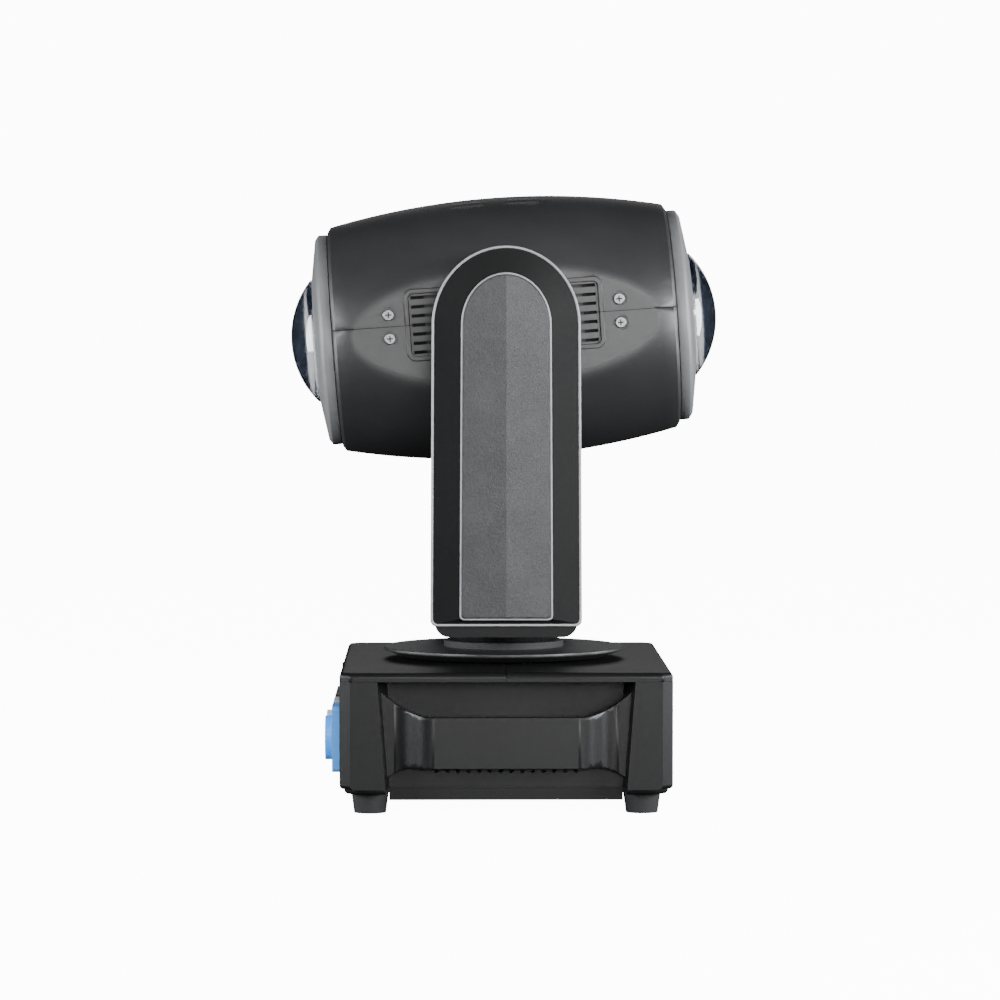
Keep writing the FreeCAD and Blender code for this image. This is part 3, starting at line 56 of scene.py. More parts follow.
def make_camera():
    data = bpy.data.cameras.new("camera")
    data.lens = CAMERA_LENS
    data.sensor_width = CAMERA_SENSOR
    data.clip_end = CAMERA_REACH
    camera = bpy.data.objects.new("camera", data)
    camera.location = CAMERA_PLACE
    camera.rotation_euler = (math.radians(90 - CAMERA_PITCH), 0, math.radians(-CAMERA_YAW))
    bpy.context.scene.collection.objects.link(camera)
    bpy.context.scene.camera = camera


def area_light(name, place, target, size, power, colour):
    data = bpy.data.lights.new(name, "AREA")
    data.shape = "RECTANGLE"
    data.size, data.size_y = size
    data.energy = power
    data.color = colour
    light = bpy.data.objects.new(name, data)
    light.location = place
    light.rotation_euler = (Vector(target) - Vector(place)).to_track_quat("-Z", "Y").to_euler()
    bpy.context.scene.collection.objects.link(light)


OBJECT_MIDDLE = (0, 0, 0.16)
HEAD_MIDDLE = (0, 0, 0.22)
NEUTRAL = (1.0, 1.0, 1.0)
COOL = (0.93, 0.97, 1.0)
LIGHTS = (
    # name, place, target, width and height, watts, colour
    ("camera_light", (0.40, -2.4, 0.36), OBJECT_MIDDLE, (1.1, 0.36), 34, NEUTRAL),
    ("key_softbox", (-0.15, -1.9, 0.55), OBJECT_MIDDLE, (0.9, 0.3), 3, NEUTRAL),
    ("left_strip", (-1.1, -0.80, 0.36), OBJECT_MIDDLE, (0.5, 0.36), 24, COOL),
    ("right_strip", (1.05, -0.85, 0.36), OBJECT_MIDDLE, (0.5, 0.36), 34, COOL),
    ("left_rim", (-1.3, 0.22, 0.26), HEAD_MIDDLE, (0.4, 0.6), 12, COOL),
    ("right_rim", (1.3, 0.22, 0.26), HEAD_MIDDLE, (0.4, 0.6), 16, COOL),
    ("top_strip", (0, -0.75, 1.35), OBJECT_MIDDLE, (1.2, 0.2), 0.8, NEUTRAL),
    ("back_light", (0.2, 1.9, 0.9), OBJECT_MIDDLE, (1.2, 0.8), 2, NEUTRAL),
)
WORLD_COLOUR = (0.92, 0.94, 0.97, 1)
WORLD_STRENGTH = 0.025


def make_lights():
    """Frontal lights, low boxes at each side, rim lights slightly behind, and weak ones above and behind."""
    for name, place, target, size, power, colour in LIGHTS:
        area_light(name, place, target, size, power, colour)


def make_world():
    world = bpy.data.worlds.new("studio")
    world.use_nodes = True
    background = world.node_tree.nodes["Background"]
    background.inputs["Color"].default_value = WORLD_COLOUR
    background.inputs["Strength"].default_value = WORLD_STRENGTH
    bpy.context.scene.world = world


FLOOR_RINGS = (0.4, 0.8, 1.6, 3.2)
FLOOR_CURVE = 1.6
FLOOR_CURVE_STEPS = 10
BACKDROP_TOP = 4.0
FLOOR_SEGMENTS = 96
FLOOR_GLOW = 12.0


def floor_profile():
    """Points of radius and height from the first ring, over the curve, to the backdrop's top."""
    flat = FLOOR_RINGS[-1]
    profile = [(radius, 0.0) for radius in FLOOR_RINGS]
    for step in range(1, FLOOR_CURVE_STEPS + 1):
        angle = math.pi / 2 * step / FLOOR_CURVE_STEPS
        profile.append((flat + FLOOR_CURVE * math.sin(angle), FLOOR_CURVE * (1 - math.cos(angle))))
    profile.append((flat + FLOOR_CURVE, BACKDROP_TOP))
    return profile


def floor_material():
    """White paper that glows, so that it stays evenly white."""
    material, shader = new_material("floor_paper")
    shader.inputs["Base Color"].default_value = (0.9, 0.9, 0.9, 1)
    shader.inputs["Roughness"].default_value = 0.9
    shader.inputs["Specular IOR Level"].default_value = 0.1
    shader.inputs["Emission Color"].default_value = (1, 1, 1, 1)
    shader.inputs["Emission Strength"].default_value = FLOOR_GLOW
    return material


def make_stage():
    """Round pale floor that curves up into a backdrop on every side."""
    mesh = bpy.data.meshes.new("floor")
    bm = bmesh.new()
    turns = [math.tau * i / FLOOR_SEGMENTS for i in range(FLOOR_SEGMENTS)]
    rows = []
    for radius, z in floor_profile():
        rows.append([bm.verts.new((radius * math.cos(a), radius * math.sin(a), z)) for a in turns])
    centre = bm.verts.new((0, 0, 0))
    for i in range(FLOOR_SEGMENTS):
        j = (i + 1) % FLOOR_SEGMENTS
        bm.faces.new((centre, rows[0][i], rows[0][j]))
        for low, high in zip(rows, rows[1:]):
            bm.faces.new((low[i], high[i], high[j], low[j]))
    for face in bm.faces:
        face.smooth = True
    bm.to_mesh(mesh)
    bm.free()
    mesh.materials.append(floor_material())
    floor = bpy.data.objects.new("floor", mesh)
    bpy.context.scene.collection.objects.link(floor)
    floor.visible_glossy = False
    floor.visible_diffuse = False


# ---- Materials ----------------------------------------------------------------------------------------

NOISE_LOW = 0.3             # noise mostly stays between these two values
NOISE_HIGH = 0.7


def new_material(name):
    material = bpy.data.materials.new(name)
    material.use_nodes = True
    nodes = material.node_tree.nodes
    nodes.clear()
    output = nodes.new("ShaderNodeOutputMaterial")
    shader = nodes.new("ShaderNodeBsdfPrincipled")
    material.node_tree.links.new(shader.outputs["BSDF"], output.inputs["Surface"])
    return material, shader


def noise(material, scale, detail=3.0, roughness=0.55, stretch=(1, 1, 1)):
    """Noise in the object's own space; scale is in features per metre."""
    nodes, links = material.node_tree.nodes, material.node_tree.links
    place = nodes.new("ShaderNodeTexCoord")
    mapping = nodes.new("ShaderNodeMapping")
    mapping.inputs["Scale"].default_value = stretch
    texture = nodes.new("ShaderNodeTexNoise")
    texture.inputs["Scale"].default_value = scale
    texture.inputs["Detail"].default_value = detail
    texture.inputs["Roughness"].default_value = roughness
    links.new(place.outputs["Object"], mapping.inputs["Vector"])
    links.new(mapping.outputs["Vector"], texture.inputs["Vector"])
    return texture.outputs["Fac"]


def ramp(material, value, low, high, colours):
    """Colour or grey between two colours as value goes from low to high."""
    nodes, links = material.node_tree.nodes, material.node_tree.links
    node = nodes.new("ShaderNodeValToRGB")
    node.color_ramp.elements[0].position = low
    node.color_ramp.elements[1].position = high
    node.color_ramp.elements[0].color = (*colours[0], 1)
    node.color_ramp.elements[1].color = (*colours[1], 1)
    links.new(value, node.inputs["Fac"])
    return node.outputs["Color"]


def spread(material, value, low, high):
    """Noise mapped onto low to high."""
    nodes, links = material.node_tree.nodes, material.node_tree.links
    node = nodes.new("ShaderNodeMapRange")
    node.inputs["From Min"].default_value = NOISE_LOW
    node.inputs["From Max"].default_value = NOISE_HIGH
    node.inputs["To Min"].default_value = low
    node.inputs["To Max"].default_value = high
    links.new(value, node.inputs["Value"])
    return node.outputs["Result"]


def add_bump(material, shader, heights, distance, strength=1.0):
    """Bumps from a list of heights, one on top of the other."""
    nodes, links = material.node_tree.nodes, material.node_tree.links
    normal = None
    for height in heights:
        bump = nodes.new("ShaderNodeBump")
        bump.inputs["Distance"].default_value = distance
        bump.inputs["Strength"].default_value = strength
        links.new(height, bump.inputs["Height"])
        if normal:
            links.new(normal, bump.inputs["Normal"])
        normal = bump.outputs["Normal"]
    links.new(normal, shader.inputs["Normal"])


def grey(level):
    return (level, level, level * 1.03)


def scaled(colour, factor):
    return tuple(channel * factor for channel in colour)


def moulded(name, colour, roughness, grain=1400, bump=0.00003, mottle=0.12, coat=0.0, shine=0.5):
    """Moulded plastic: spark-eroded grain, slightly uneven colour and gloss."""
    material, shader = new_material(name)
    links = material.node_tree.links
    fine = noise(material, grain, 4.0, 0.65)
    broad = noise(material, 28, 3.0)
    tones = (scaled(colour, 1 - mottle), scaled(colour, 1 + mottle))
    links.new(ramp(material, broad, NOISE_LOW, NOISE_HIGH, tones), shader.inputs["Base Color"])
    links.new(spread(material, fine, roughness - 0.05, roughness + 0.06), shader.inputs["Roughness"])
    add_bump(material, shader, [fine], bump)
    shader.inputs["Specular IOR Level"].default_value = shine
    shader.inputs["Coat Weight"].default_value = coat
    shader.inputs["Coat Roughness"].default_value = 0.18
    return material


def mottled_panel(name, colour):
    """Arm panel: painted plastic with a leathery speckle over a fine grain."""
    material, shader = new_material(name)
    links = material.node_tree.links
    speckle = noise(material, 900, 5.0, 0.7)
    clouds = noise(material, 45, 3.0, 0.6)
    fine = noise(material, 2200, 2.0)
    tone = ramp(material, speckle, 0.36, 0.64, (scaled(colour, 0.84), scaled(colour, 1.16)))
    wash = ramp(material, clouds, NOISE_LOW, NOISE_HIGH, ((0.82, 0.82, 0.82), (1.12, 1.12, 1.12)))
    mix = material.node_tree.nodes.new("ShaderNodeMix")
    mix.data_type = "RGBA"
    mix.blend_type = "MULTIPLY"
    mix.inputs["Factor"].default_value = 1.0
    links.new(tone, mix.inputs["A"])
    links.new(wash, mix.inputs["B"])
    links.new(mix.outputs["Result"], shader.inputs["Base Color"])
    shader.inputs["Specular IOR Level"].default_value = 0.28
    links.new(spread(material, speckle, 0.28, 0.38), shader.inputs["Roughness"])
    add_bump(material, shader, [speckle, fine], 0.00006)
    return material


def metal(name, colour, roughness, stretch=(1, 1, 1), scale=700, bump=0.00001):
    """Bare metal with the streaks or turning marks of how it was made."""
    material, shader = new_material(name)
    links = material.node_tree.links
    streak = noise(material, scale, 4.0, 0.6, stretch)
    shader.inputs["Metallic"].default_value = 1.0
    tones = (scaled(colour, 0.88), scaled(colour, 1.06))
    links.new(ramp(material, streak, NOISE_LOW, NOISE_HIGH, tones), shader.inputs["Base Color"])
    links.new(spread(material, streak, roughness * 0.75, roughness * 1.3), shader.inputs["Roughness"])
    add_bump(material, shader, [streak], bump)
    return material


def rubber(name, level):
    return moulded(name, grey(level), 0.72, 900, 0.00006, 0.2)


def glass(name, tint, roughness=0.02):
    """Clear coated glass with the faintest dust."""
    material, shader = new_material(name)
    links = material.node_tree.links
    dust = noise(material, 300, 3.0)
    shader.inputs["Transmission Weight"].default_value = 1.0
    shader.inputs["IOR"].default_value = 1.5
    shader.inputs["Coat Weight"].default_value = 0.6
    shader.inputs["Coat Roughness"].default_value = 0.03
    tones = (scaled(tint, 0.97), tint)
    links.new(ramp(material, dust, NOISE_LOW, NOISE_HIGH, tones), shader.inputs["Base Color"])
    links.new(spread(material, dust, roughness, roughness + 0.02), shader.inputs["Roughness"])
    return material


def make_materials():
    return {
        "base_plastic": moulded("base_plastic", grey(0.005), 0.38, shine=0.22),
        "handle_plastic": moulded("handle_plastic", grey(0.004), 0.36, shine=0.28),
        "base_plate_paint": moulded("base_plate_paint", grey(0.005), 0.5, 2200, 0.00005, shine=0.2),
        "panel_paint": moulded("panel_paint", grey(0.014), 0.45, 2600, 0.00004),
        # Painted shade: the yoke's black is darker and duller than the arm covers', for the shade under the
        # head.
        "yoke_plastic": moulded("yoke_plastic", grey(0.003), 0.40, 900, 0.000004, shine=0.12),
        "arm_band_plastic": moulded("arm_band_plastic", grey(0.004), 0.40, 900, 0.000003, shine=0.15),
        "arm_panel_plastic": mottled_panel("arm_panel_plastic", grey(0.034)),
        "head_plastic": moulded("head_plastic", grey(0.022), 0.42, 1800, 0.00003, shine=0.6),
        "bezel_plastic": moulded("bezel_plastic", grey(0.17), 0.42),
        "disc_plastic": moulded("disc_plastic", grey(0.012), 0.45),
        "button_plastic": moulded("button_plastic", grey(0.05), 0.5),
        "fan_plastic": moulded("fan_plastic", grey(0.012), 0.5),
        "carriage_plastic": moulded("carriage_plastic", grey(0.012), 0.5),
        "fuse_plastic": moulded("fuse_plastic", grey(0.012), 0.45),
        "inlet_blue": moulded("inlet_blue", (0.08, 0.36, 0.92), 0.38, 900, 0.00002, 0.06),
        "outlet_grey": moulded("outlet_grey", grey(0.5), 0.42, 900, 0.00002, 0.05),
        "foot_rubber": rubber("foot_rubber", 0.005),
        "seal_rubber": rubber("seal_rubber", 0.008),
        "belt_rubber": rubber("belt_rubber", 0.008),
        "display_glass": moulded("display_glass", (0.004, 0.005, 0.008), 0.08, 300, 0.000002, 0.1, 0.8),
        "connector_metal": moulded("connector_metal", grey(0.02), 0.42, 1600, 0.00002),
        "supply_case": metal("supply_case", (0.62, 0.63, 0.65), 0.38, (1, 12, 12)),
        "frame_metal": metal("frame_metal", (0.60, 0.61, 0.63), 0.40, (12, 12, 1)),
        "bearing_steel": metal("bearing_steel", (0.55, 0.55, 0.56), 0.22),
        "shaft_steel": metal("shaft_steel", (0.55, 0.55, 0.56), 0.25, (1, 1, 10)),
        "screw_steel": metal("screw_steel", (0.22, 0.22, 0.23), 0.40, (6, 1, 1), 1500),
        "pulley_metal": metal("pulley_metal", (0.66, 0.66, 0.68), 0.3),
        "heat_sink_metal": metal("heat_sink_metal", (0.58, 0.58, 0.60), 0.35, (1, 1, 8)),
        "wheel_metal": metal("wheel_metal", (0.6, 0.6, 0.62), 0.3),
        "motor_steel": moulded("motor_steel", grey(0.02), 0.35),
        "circuit_board": moulded("circuit_board", (0.01, 0.09, 0.03), 0.4, 300, 0.00001, 0.3),
        "led_board": moulded("led_board", (0.6, 0.6, 0.52), 0.4, 300, 0.00001, 0.1),
        # Painted highlight: light grey for the rounded edges of the near-black arm covers and panels.
        "arm_edge_highlight": moulded("arm_edge_highlight", grey(0.26), 0.34, 900, 0.000003),
        "lens_glass": glass("lens_glass", (0.96, 0.98, 1.0)),
        "chassis_black": moulded("chassis_black", grey(0.010), 0.5),
        # Painted shade: dark navy core inside each lens, for the unlit inside of the head seen through the
        # glass.
        "lens_shade_core": moulded("lens_shade_core", (0.0025, 0.0045, 0.010), 0.10, 120, 0.000001, 0.2, 0.6),
        # Painted shade: near-black for the screws' cross recesses and the strips inside the head.
        "painted_shade_black": moulded("painted_shade_black", grey(0.004), 0.8),
        "screen_ink": moulded("screen_ink", (0.10, 0.42, 0.80), 0.3, 600, 0.000001, 0.05),
        "label_ink": moulded("label_ink", grey(0.55), 0.5, 600, 0.000001, 0.05),
    }


def dress_cad_nodes(materials):
    for entry in frame["record"]["subparts"]:
        node = frame["nodes"][entry["node"]]
        node.data.materials.clear()
        node.data.materials.append(materials[entry["material_slot"]])


# ---- Softened edges of the CAD pieces -----------------------------------------------------------------

EDGE_WIDTHS = {
    "base_cover_front": 0.4, "base_cover_rear": 0.4, "side_panel_right": 0.5, "side_panel_left": 0.5,
    "handle_right": 0.8, "handle_left": 0.8, "arm_cover_right": 0.45, "arm_cover_left": 0.45,
    "arm_shell_right": 0.4, "arm_shell_left": 0.4, "yoke_cover": 0.4, "bezel_front": 0.4, "bezel_rear": 0.4,
    "head_cover_top": 0.35, "head_cover_bottom": 0.35,
    "pan_disc": 0.3, "front_panel": 0.3, "rear_panel": 0.3, "power_inlet": 0.3, "power_outlet": 0.3,
    "data_connectors": 0.3, "base_tray": 0.4,
}
SHARP_ANGLE = 38.0
WELD_DISTANCE = 0.01
EDGE_STEPS = 2


def soften_edges():
    """Small rounds on the sharp edges of the CAD pieces that show."""
    for name, width in EDGE_WIDTHS.items():
        node = frame["nodes"][name]
        weld = node.modifiers.new("weld", "WELD")
        weld.merge_threshold = WELD_DISTANCE * MM
        bevel = node.modifiers.new("soft_edges", "BEVEL")
        bevel.width = width * MM
        bevel.segments = EDGE_STEPS
        bevel.limit_method = "ANGLE"
        bevel.angle_limit = math.radians(SHARP_ANGLE)
        bevel.harden_normals = True
        bevel.use_clamp_overlap = True


# ---- Pieces made here ---------------------------------------------------------------------------------

AXIS_RADIUS = 1e-6          # a smaller radius is a point on the axis
TILT_HEIGHT = 226.2
REST_TILT = 4.1
HEAD_TURN = Matrix.Rotation(math.radians(-REST_TILT), 4, "Y")
HEAD_PLACE = Matrix.Translation((0, 0, TILT_HEIGHT * MM)) @ HEAD_TURN


def piece(name, bm, material, body, place=Matrix.Identity(4), smooth=True):
    """Mesh piece from a bmesh in millimetres, put in place and made to ride on its body."""
    bmesh.ops.recalc_face_normals(bm, faces=bm.faces)
    mesh = bpy.data.meshes.new(name)
    bm.to_mesh(mesh)
    bm.free()
    mesh.transform(place @ Matrix.Scale(MM, 4))
    for polygon in mesh.polygons:
        polygon.use_smooth = smooth
    mesh.materials.append(material)
    item = bpy.data.objects.new(name, mesh)
    bpy.context.scene.collection.objects.link(item)
    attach(item, body)
    return item


def lathe(bm, profile, segments=96, middle=(0, 0)):
    """Adds a closed solid of revolution along X from points of x and radius; middle is the axis's y and z."""
    y, z = middle
    rows = []
    for x, radius in profile:
        if radius < AXIS_RADIUS:
            rows.append([bm.verts.new((x, y, z))])
            continue
        row = []
        for i in range(segments):
            angle = math.tau * i / segments
            row.append(bm.verts.new((x, y + radius * math.cos(angle), z + radius * math.sin(angle))))
        rows.append(row)
    for here, after in zip(rows, rows[1:] + rows[:1]):
        for i in range(segments):
            j = (i + 1) % segments
            if len(here) == 1 and len(after) == 1:
                break
            if len(here) == 1:
                bm.faces.new((here[0], after[i], after[j]))
            elif len(after) == 1:
                bm.faces.new((here[i], here[j], after[0]))
            else:
                bm.faces.new((here[i], here[j], after[j], after[i]))


def block(bm, x0, x1, y0, y1, z0, z1):
    """Adds a box between two corners."""
    corners = [bm.verts.new((x, y, z)) for x in (x0, x1) for y in (y0, y1) for z in (z0, z1)]
    for a, b, c, d in ((0, 1, 3, 2), (4, 6, 7, 5), (0, 4, 5, 1), (2, 3, 7, 6), (0, 2, 6, 4), (1, 5, 7, 3)):
        bm.faces.new((corners[a], corners[b], corners[c], corners[d]))


LENS_RADIUS = 29.4
LENS_CURVE = 44.0
LENS_EDGE = 91.65           # of the dome's edge from the tilt axis, along the light
LENS_BACK = 86.0
FLANGE_FRONT = 88.4
FLANGE_RADIUS = 31.5
CORE_INSET = 0.3
CORE_RADIUS = 28.2
CORE_EDGE = 90.6
CORE_RISE = 9.2
CORE_STEPS = 16
DOME_STEPS = 20
LENS_SHARP_ANGLE = 30


def dome():
    """Points of the dome's curve, from its edge to its tip."""
    centre = LENS_EDGE - math.sqrt(LENS_CURVE ** 2 - LENS_RADIUS ** 2)
    start = math.asin(LENS_RADIUS / LENS_CURVE)
    points = []
    for step in range(DOME_STEPS + 1):
        angle = start * (1 - step / DOME_STEPS)
        points.append((centre + LENS_CURVE * math.cos(angle), LENS_CURVE * math.sin(angle)))
    return points


def make_lenses(materials):
    """Each lens is a clear dome with a dark coated core inside it; the core's dark navy is painted shade of
    the unlit inside of the head seen through the glass.
    """
    glass_bm = bmesh.new()
    core_bm = bmesh.new()
    for sign in (1, -1):
        outer = [(LENS_BACK, 0), (LENS_BACK, FLANGE_RADIUS), (FLANGE_FRONT, FLANGE_RADIUS),
                 (FLANGE_FRONT, LENS_RADIUS)]
        lathe(glass_bm, [(sign * x, r) for x, r in outer + dome()])
        core = [(LENS_BACK + CORE_INSET, 0), (LENS_BACK + CORE_INSET, CORE_RADIUS)]
        for step in range(CORE_STEPS + 1):
            angle = math.pi / 2 * step / CORE_STEPS
            core.append((CORE_EDGE + CORE_RISE * math.sin(angle), CORE_RADIUS * math.cos(angle)))
        lathe(core_bm, [(sign * x, r) for x, r in core])
    glass_piece = piece("lens_glass", glass_bm, materials["lens_glass"], "head", HEAD_PLACE)
    core_piece = piece("lens_shade_cores", core_bm, materials["lens_shade_core"], "head", HEAD_PLACE)
    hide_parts("dome_lenses")
    for item in (glass_piece, core_piece):
        item.data.set_sharp_from_angle(angle=math.radians(LENS_SHARP_ANGLE))


FLAT_HALF = 55.5
SCREW_U = 54.5
SCREW_W = (-1.4, 9.8)
CROSS_SEAT = 0.70           # height of the cross recess's floor over the screw's seat
SCREW_SEAT = 1.3
CROSS_HALF = 1.45
CROSS_WIDTH = 0.26
CROSS_DEPTH = 0.1


def make_screw_cross_shade(materials):
    """Painted shade: near-black blocks on the floors of the cross recesses in the head's screws."""
    bm = bmesh.new()
    for side in (-1, 1):
        floor_y = side * (FLAT_HALF - SCREW_SEAT + CROSS_SEAT)
        y0, y1 = sorted((floor_y, floor_y + side * CROSS_DEPTH))
        for u in (-SCREW_U, SCREW_U):
            for w in SCREW_W:
                block(bm, u - CROSS_HALF, u + CROSS_HALF, y0, y1, w - CROSS_WIDTH, w + CROSS_WIDTH)
                block(bm, u - CROSS_WIDTH, u + CROSS_WIDTH, y0, y1, w + CROSS_WIDTH, w + CROSS_HALF)
                block(bm, u - CROSS_WIDTH, u + CROSS_WIDTH, y0, y1, w - CROSS_HALF, w - CROSS_WIDTH)
    piece("screw_cross_shade", bm, materials["painted_shade_black"], "head", HEAD_PLACE, False)


# Painted shade: where the black strips behind the head's seam and louvres go.
SHADE_STRIP_Y = (50.7, 51.4)
SEAM_W = 4.2
SEAM_SHADE_HALF = 1.9
SEAM_SHADE_U = (38.0, 79.0)
LOUVRE_SHADE_U = (37.5, 50.0)
LOUVRE_SHADE_W = (-16.0, 24.5)


def make_shade_strips(materials):
    """Painted shade: black strips inside the head behind the seam and the louvres, so that no lit inside
    shows through them.
    """
    bm = bmesh.new()
    near, far = SHADE_STRIP_Y
    for side in (-1, 1):
        y0, y1 = sorted((side * near, side * far))
        for end in (-1, 1):
            u0, u1 = sorted((end * LOUVRE_SHADE_U[1], end * SEAM_SHADE_U[1]))
            block(bm, u0, u1, y0, y1, SEAM_W - SEAM_SHADE_HALF, SEAM_W + SEAM_SHADE_HALF)
            u0, u1 = sorted((end * LOUVRE_SHADE_U[0], end * LOUVRE_SHADE_U[1]))
            block(bm, u0, u1, y0, y1, *LOUVRE_SHADE_W)
    piece("painted_shade_strips", bm, materials["painted_shade_black"], "head", HEAD_PLACE, False)


ARCH_CENTRE = TILT_HEIGHT + 1.1
ARCH_RISE = 37.0
ARM_TOP_HALF = 34.6
ARM_LOW_HALF = 35.3
ARM_BOTTOM = 87.3
PANEL_BOTTOM = 91.0
ARM_FACE = 87.8
PANEL_SIDE_INSET = 14.2
PANEL_TOP_INSET = 13.1
PANEL_CORNER = 1.6
PANEL_SEAT = 90.0
PANEL_EDGE_FACE = 91.0
PANEL_CREASE_FACE = 92.25
PANEL_HALF = ARM_LOW_HALF - PANEL_SIDE_INSET
PANEL_ROUND = 0.9
PANEL_ROUND_STEPS = 4
PANEL_SHARP_ANGLE = 4
PANEL_BEAD = 0.65
PANEL_BEAD_DEPTH = 1.05     # of the bead's centre below the panel's face
COVER_BEAD = 0.6
COVER_BEAD_LIFT = 0.72
COVER_CORNER = 3.0
BEAD_STEPS = 10
ARCH_STEPS = 64
CORNER_STEPS = 6


def arm_outline(side_inset, top_inset, bottom, corner):
    """Points of x and z round an arm: half an ellipse, two nearly upright sides and two round corners."""
    points = []
    half = ARM_TOP_HALF - side_inset
    for step in range(ARCH_STEPS + 1):
        angle = math.pi * step / ARCH_STEPS
        points.append((half * math.cos(angle), ARCH_CENTRE + (ARCH_RISE - top_inset) * math.sin(angle)))
    low = ARM_LOW_HALF - side_inset
    for sign, start in ((-1, math.pi), (1, 1.5 * math.pi)):
        for step in range(CORNER_STEPS + 1):
            angle = start + 0.5 * math.pi * step / CORNER_STEPS
            x = sign * (low - corner) + corner * math.cos(angle)
            points.append((x, bottom + corner + corner * math.sin(angle)))
    return points


def panel_face(x):
    """How far the panel's creased face stands out at x."""
    return PANEL_CREASE_FACE - (PANEL_CREASE_FACE - PANEL_EDGE_FACE) * min(abs(x) / PANEL_HALF, 1.0)


def bead(bm, outline, face, radius):
    """Adds a round bead that follows a closed outline of x and z; face gives its centre's y from x."""
    rings = []
    count = len(outline)
    for index, (x, z) in enumerate(outline):
        before = Vector(outline[index - 1])
        after = Vector(outline[(index + 1) % count])
        along = (after - before).normalized()
        out = Vector((along.y, -along.x))
        ring = []
        for step in range(BEAD_STEPS):
            angle = math.tau * step / BEAD_STEPS
            reach = radius * math.cos(angle)
            y = face(x) + radius * math.sin(angle)
            ring.append(bm.verts.new((x + out.x * reach, y, z + out.y * reach)))
        rings.append(ring)
    for index in range(count):
        here, after = rings[index], rings[(index + 1) % count]
        for step in range(BEAD_STEPS):
            onward = (step + 1) % BEAD_STEPS
            bm.faces.new((here[step], here[onward], after[onward], after[step]))


def panel_solid(bm, side):
    """Adds a panel with a rounded edge and a face that rises to a crease along its middle."""
    rings = []
    for step in range(-1, PANEL_ROUND_STEPS + 1):
        angle = max(step, 0) / PANEL_ROUND_STEPS * math.pi / 2
        inset = PANEL_ROUND * (1 - math.cos(angle))
        drop = PANEL_ROUND * (1 - math.sin(angle))
        outline = arm_outline(PANEL_SIDE_INSET + inset, PANEL_TOP_INSET + inset, PANEL_BOTTOM + inset,
                              PANEL_CORNER)
        ring = []
        for x, z in outline:
            y = PANEL_SEAT if step < 0 else panel_face(x) - drop
            ring.append(bm.verts.new((x, side * y, z)))
        rings.append(ring)
    count = len(rings[0])
    for low, high in zip(rings, rings[1:]):
        for i in range(count):
            j = (i + 1) % count
            bm.faces.new((low[i], low[j], high[j], high[i]))
    for ring, face_y in ((rings[0], PANEL_SEAT), (rings[-1], PANEL_CREASE_FACE)):
        cap(bm, ring, side * face_y)


def cap(bm, ring, middle_y):
    """Closes a symmetric ring with two rows of faces that meet on its middle line."""
    half = ARCH_STEPS // 2
    last_left = ARCH_STEPS + CORNER_STEPS + 1
    top = ring[half]
    rights = [ring[half - i] for i in range(1, half + 1)] + ring[:last_left:-1]
    lefts = ring[half + 1:last_left + 1]
    top.co.y = middle_y
    centre = top
    for index, (left, right) in enumerate(zip(lefts, rights)):
        lower = bm.verts.new((0, middle_y, left.co.z))
        if index == 0:
            bm.faces.new((top, lower, right))
            bm.faces.new((top, left, lower))
        else:
            bm.faces.new((centre, lower, right, rights[index - 1]))
            bm.faces.new((centre, lefts[index - 1], left, lower))
        centre = lower


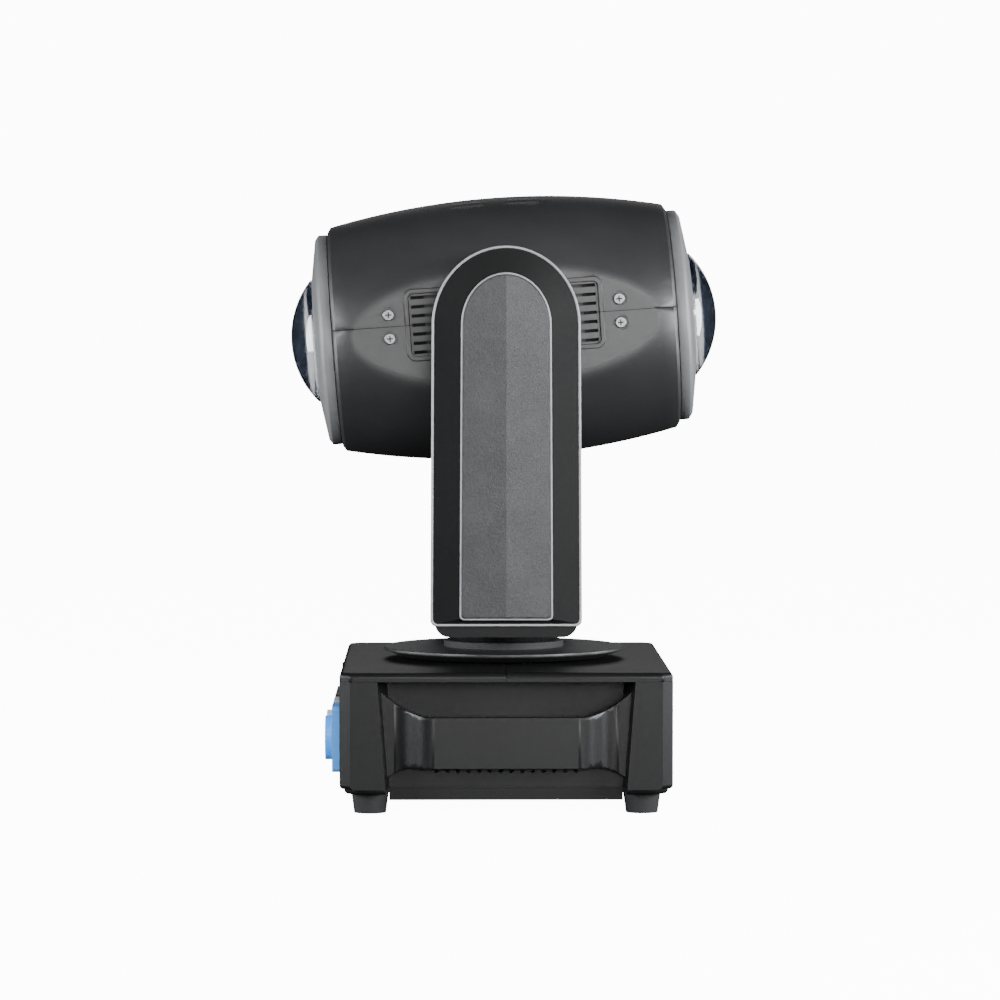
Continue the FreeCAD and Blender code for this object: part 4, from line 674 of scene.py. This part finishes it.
def make_arm_panels(materials):
    """Creased panels of the arms, and the rounded edges of the arm covers and of the panels; the edges are
    real rounds, their light grey a painted highlight.
    """
    for name, side in (("right", -1), ("left", 1)):
        bm = bmesh.new()
        panel_solid(bm, side)
        paint = materials["arm_panel_plastic"]
        panel = piece("creased_panel_" + name, bm, paint, "yoke")
        panel.data.set_sharp_from_angle(angle=math.radians(PANEL_SHARP_ANGLE))
        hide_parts("arm_panel_" + name)
        bm = bmesh.new()
        outline = arm_outline(PANEL_SIDE_INSET, PANEL_TOP_INSET, PANEL_BOTTOM, PANEL_CORNER)
        bead(bm, outline, lambda x: side * (panel_face(x) - PANEL_BEAD_DEPTH), PANEL_BEAD)
        piece("panel_edge_highlight_" + name, bm, materials["arm_edge_highlight"], "yoke")
        bm = bmesh.new()
        outline = arm_outline(COVER_BEAD, COVER_BEAD, ARM_BOTTOM + COVER_BEAD_LIFT, COVER_CORNER)
        bead(bm, outline, lambda x: side * ARM_FACE, COVER_BEAD)
        piece("cover_edge_highlight_" + name, bm, materials["arm_edge_highlight"], "yoke")


PRINT_THICKNESS = 0.06
PANEL_PRINT_FACE = 77.5
DISPLAY_FACE = 77.02
DISPLAY_Y = -18.0
DISPLAY_HALF_Y = 23.0
DISPLAY_Z = 37.0
DISPLAY_ROWS = ((10.5, 1.0), (3.5, 0.7), (-3.5, 0.5), (-10.5, 0.85))
BUTTON_Y = (24.5, 41.5)
BUTTON_Z = (28.0, 46.0)
BUTTON_RING = (4.9, 5.3)
RING_SEGMENTS = 48
BAR_HALF = 1.6
MARK_LENGTH = 3.2
BAR_START = 5.0


def make_display(materials):
    """Rows of bars on the screen, as a menu without any words, and a printed ring round each button."""
    bm = bmesh.new()
    front = DISPLAY_FACE + PRINT_THICKNESS
    start = DISPLAY_Y - DISPLAY_HALF_Y
    longest = 2 * DISPLAY_HALF_Y - BAR_START
    for height, share in DISPLAY_ROWS:
        low = DISPLAY_Z + height - BAR_HALF
        high = DISPLAY_Z + height + BAR_HALF
        block(bm, DISPLAY_FACE, front, start, start + MARK_LENGTH, low, high)
        block(bm, DISPLAY_FACE, front, start + BAR_START, start + BAR_START + share * longest, low, high)
    piece("display_bars", bm, materials["screen_ink"], "base", smooth=False)
    bm = bmesh.new()
    inner, outer = BUTTON_RING
    face = PANEL_PRINT_FACE
    front = PANEL_PRINT_FACE + PRINT_THICKNESS
    for y in BUTTON_Y:
        for z in BUTTON_Z:
            ring = [(face, inner), (face, outer), (front, outer), (front, inner)]
            lathe(bm, ring, RING_SEGMENTS, (y, z))
    piece("button_rings", bm, materials["label_ink"], "base", smooth=False)


# ---- The scene ----------------------------------------------------------------------------------------

make_camera()
make_lights()
make_world()
make_stage()
materials = make_materials()
dress_cad_nodes(materials)
soften_edges()
make_lenses(materials)
make_screw_cross_shade(materials)
make_shade_strips(materials)
make_arm_panels(materials)
make_display(materials)
